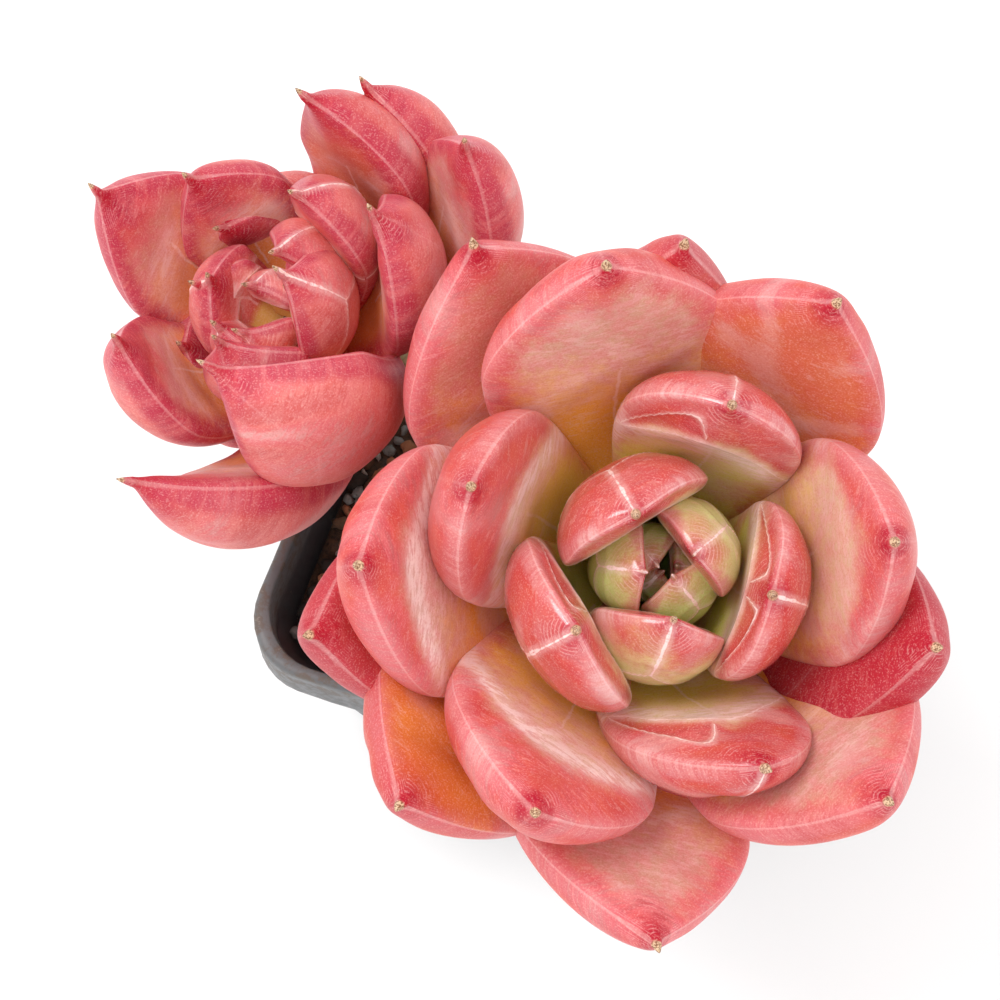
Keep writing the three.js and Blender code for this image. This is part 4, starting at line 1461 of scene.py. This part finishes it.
class ECHEVERIA_OT_stage(bpy.types.Operator):
    """Set the pale floor, the soft studio light and the camera"""

    bl_idname = "echeveria.stage"
    bl_label = "Set the stage"

    def execute(self, context):
        scene = context.scene
        settings = scene.echeveria_stage
        self.floor(settings)
        self.sky(scene, settings)
        for name, lamp in (("key", KEY_LAMP), ("fill", FILL_LAMP)):
            data = bpy.data.lights.new(name, "AREA")
            data.energy = getattr(settings, name)
            data.size = lamp.side
            set_up(name, data, lamp.location)
        scene.camera = self.camera(settings)
        scene.view_settings.view_transform = "Standard"
        return {"FINISHED"}

    def floor(self, settings):
        """A pale floor under the pot."""
        half = settings.floor_side / 2
        corners = [(-half, -half, 0), (half, -half, 0), (half, half, 0), (-half, half, 0)]
        mesh = bpy.data.meshes.new("floor")
        mesh.from_pydata(corners, [], [(0, 1, 2, 3)])
        colour = opaque(settings.floor_colour)
        mesh.materials.append(Paint("floor").finish(Base_Color=colour, Roughness=0.8))
        place("floor", mesh)

    def sky(self, scene, settings):
        """Even white light from all around."""
        scene.world = scene.world or bpy.data.worlds.new("sky")
        scene.world.use_nodes = True
        background = scene.world.node_tree.nodes["Background"]
        background.inputs["Color"].default_value = (1.0, 1.0, 1.0, 1.0)
        background.inputs["Strength"].default_value = settings.sky

    def camera(self, settings):
        """The camera, above the plant and a little in front of it."""
        data = bpy.data.cameras.new("camera")
        data.lens = settings.lens
        data.sensor_width = SENSOR_WIDTH
        data.clip_start = 0.01
        back = Vector((0, -math.cos(settings.elevation), math.sin(settings.elevation)))
        return set_up("camera", data, CAMERA_TARGET + back * settings.distance)


class ECHEVERIA_PT_sidebar(bpy.types.Panel):
    """Buttons and settings in the 3D view's sidebar"""

    bl_idname = "ECHEVERIA_PT_sidebar"
    bl_label = "Potted echeveria"
    bl_space_type = "VIEW_3D"
    bl_region_type = "UI"
    bl_category = "Echeveria"

    def draw(self, context):
        layout = self.layout
        for name in ("echeveria.pot", "echeveria.mix", "echeveria.stem"):
            layout.operator(name)
        for name in HEADS:
            layout.operator("echeveria.head", text=f"Grow the {name} head").head_name = name
        layout.operator("echeveria.stage")
        for name, group in SETTINGS.items():
            box = layout.box()
            box.label(text=group.__doc__)
            for key in group.__annotations__:
                box.prop(getattr(context.scene, name), key)


SETTINGS = {
    "echeveria_leaf_colours": LeafColours,
    "echeveria_leaves": LeafDetail,
    "echeveria_pot": PotSizes,
    "echeveria_mix": MixSizes,
    "echeveria_pot_colours": PotColours,
    "echeveria_stage": StageSettings,
}
CLASSES = (
    ECHEVERIA_OT_pot,
    ECHEVERIA_OT_mix,
    ECHEVERIA_OT_stem,
    ECHEVERIA_OT_head,
    ECHEVERIA_OT_stage,
    ECHEVERIA_PT_sidebar,
)


def register():
    """Registers the settings, the operators and the panel."""
    for name, group in SETTINGS.items():
        bpy.utils.register_class(group)
        setattr(bpy.types.Scene, name, PointerProperty(type=group))
    for kind in CLASSES:
        bpy.utils.register_class(kind)


def unregister():
    """Takes them out again."""
    for kind in reversed(CLASSES):
        bpy.utils.unregister_class(kind)
    for name, group in SETTINGS.items():
        delattr(bpy.types.Scene, name)
        bpy.utils.unregister_class(group)


def main():
    """Builds every piece in order."""
    register()
    bpy.ops.echeveria.pot()
    bpy.ops.echeveria.mix()
    bpy.ops.echeveria.stem()
    for name in HEADS:
        bpy.ops.echeveria.head(head_name=name)
    bpy.ops.echeveria.stage()


if __name__ == "__main__":
    main()
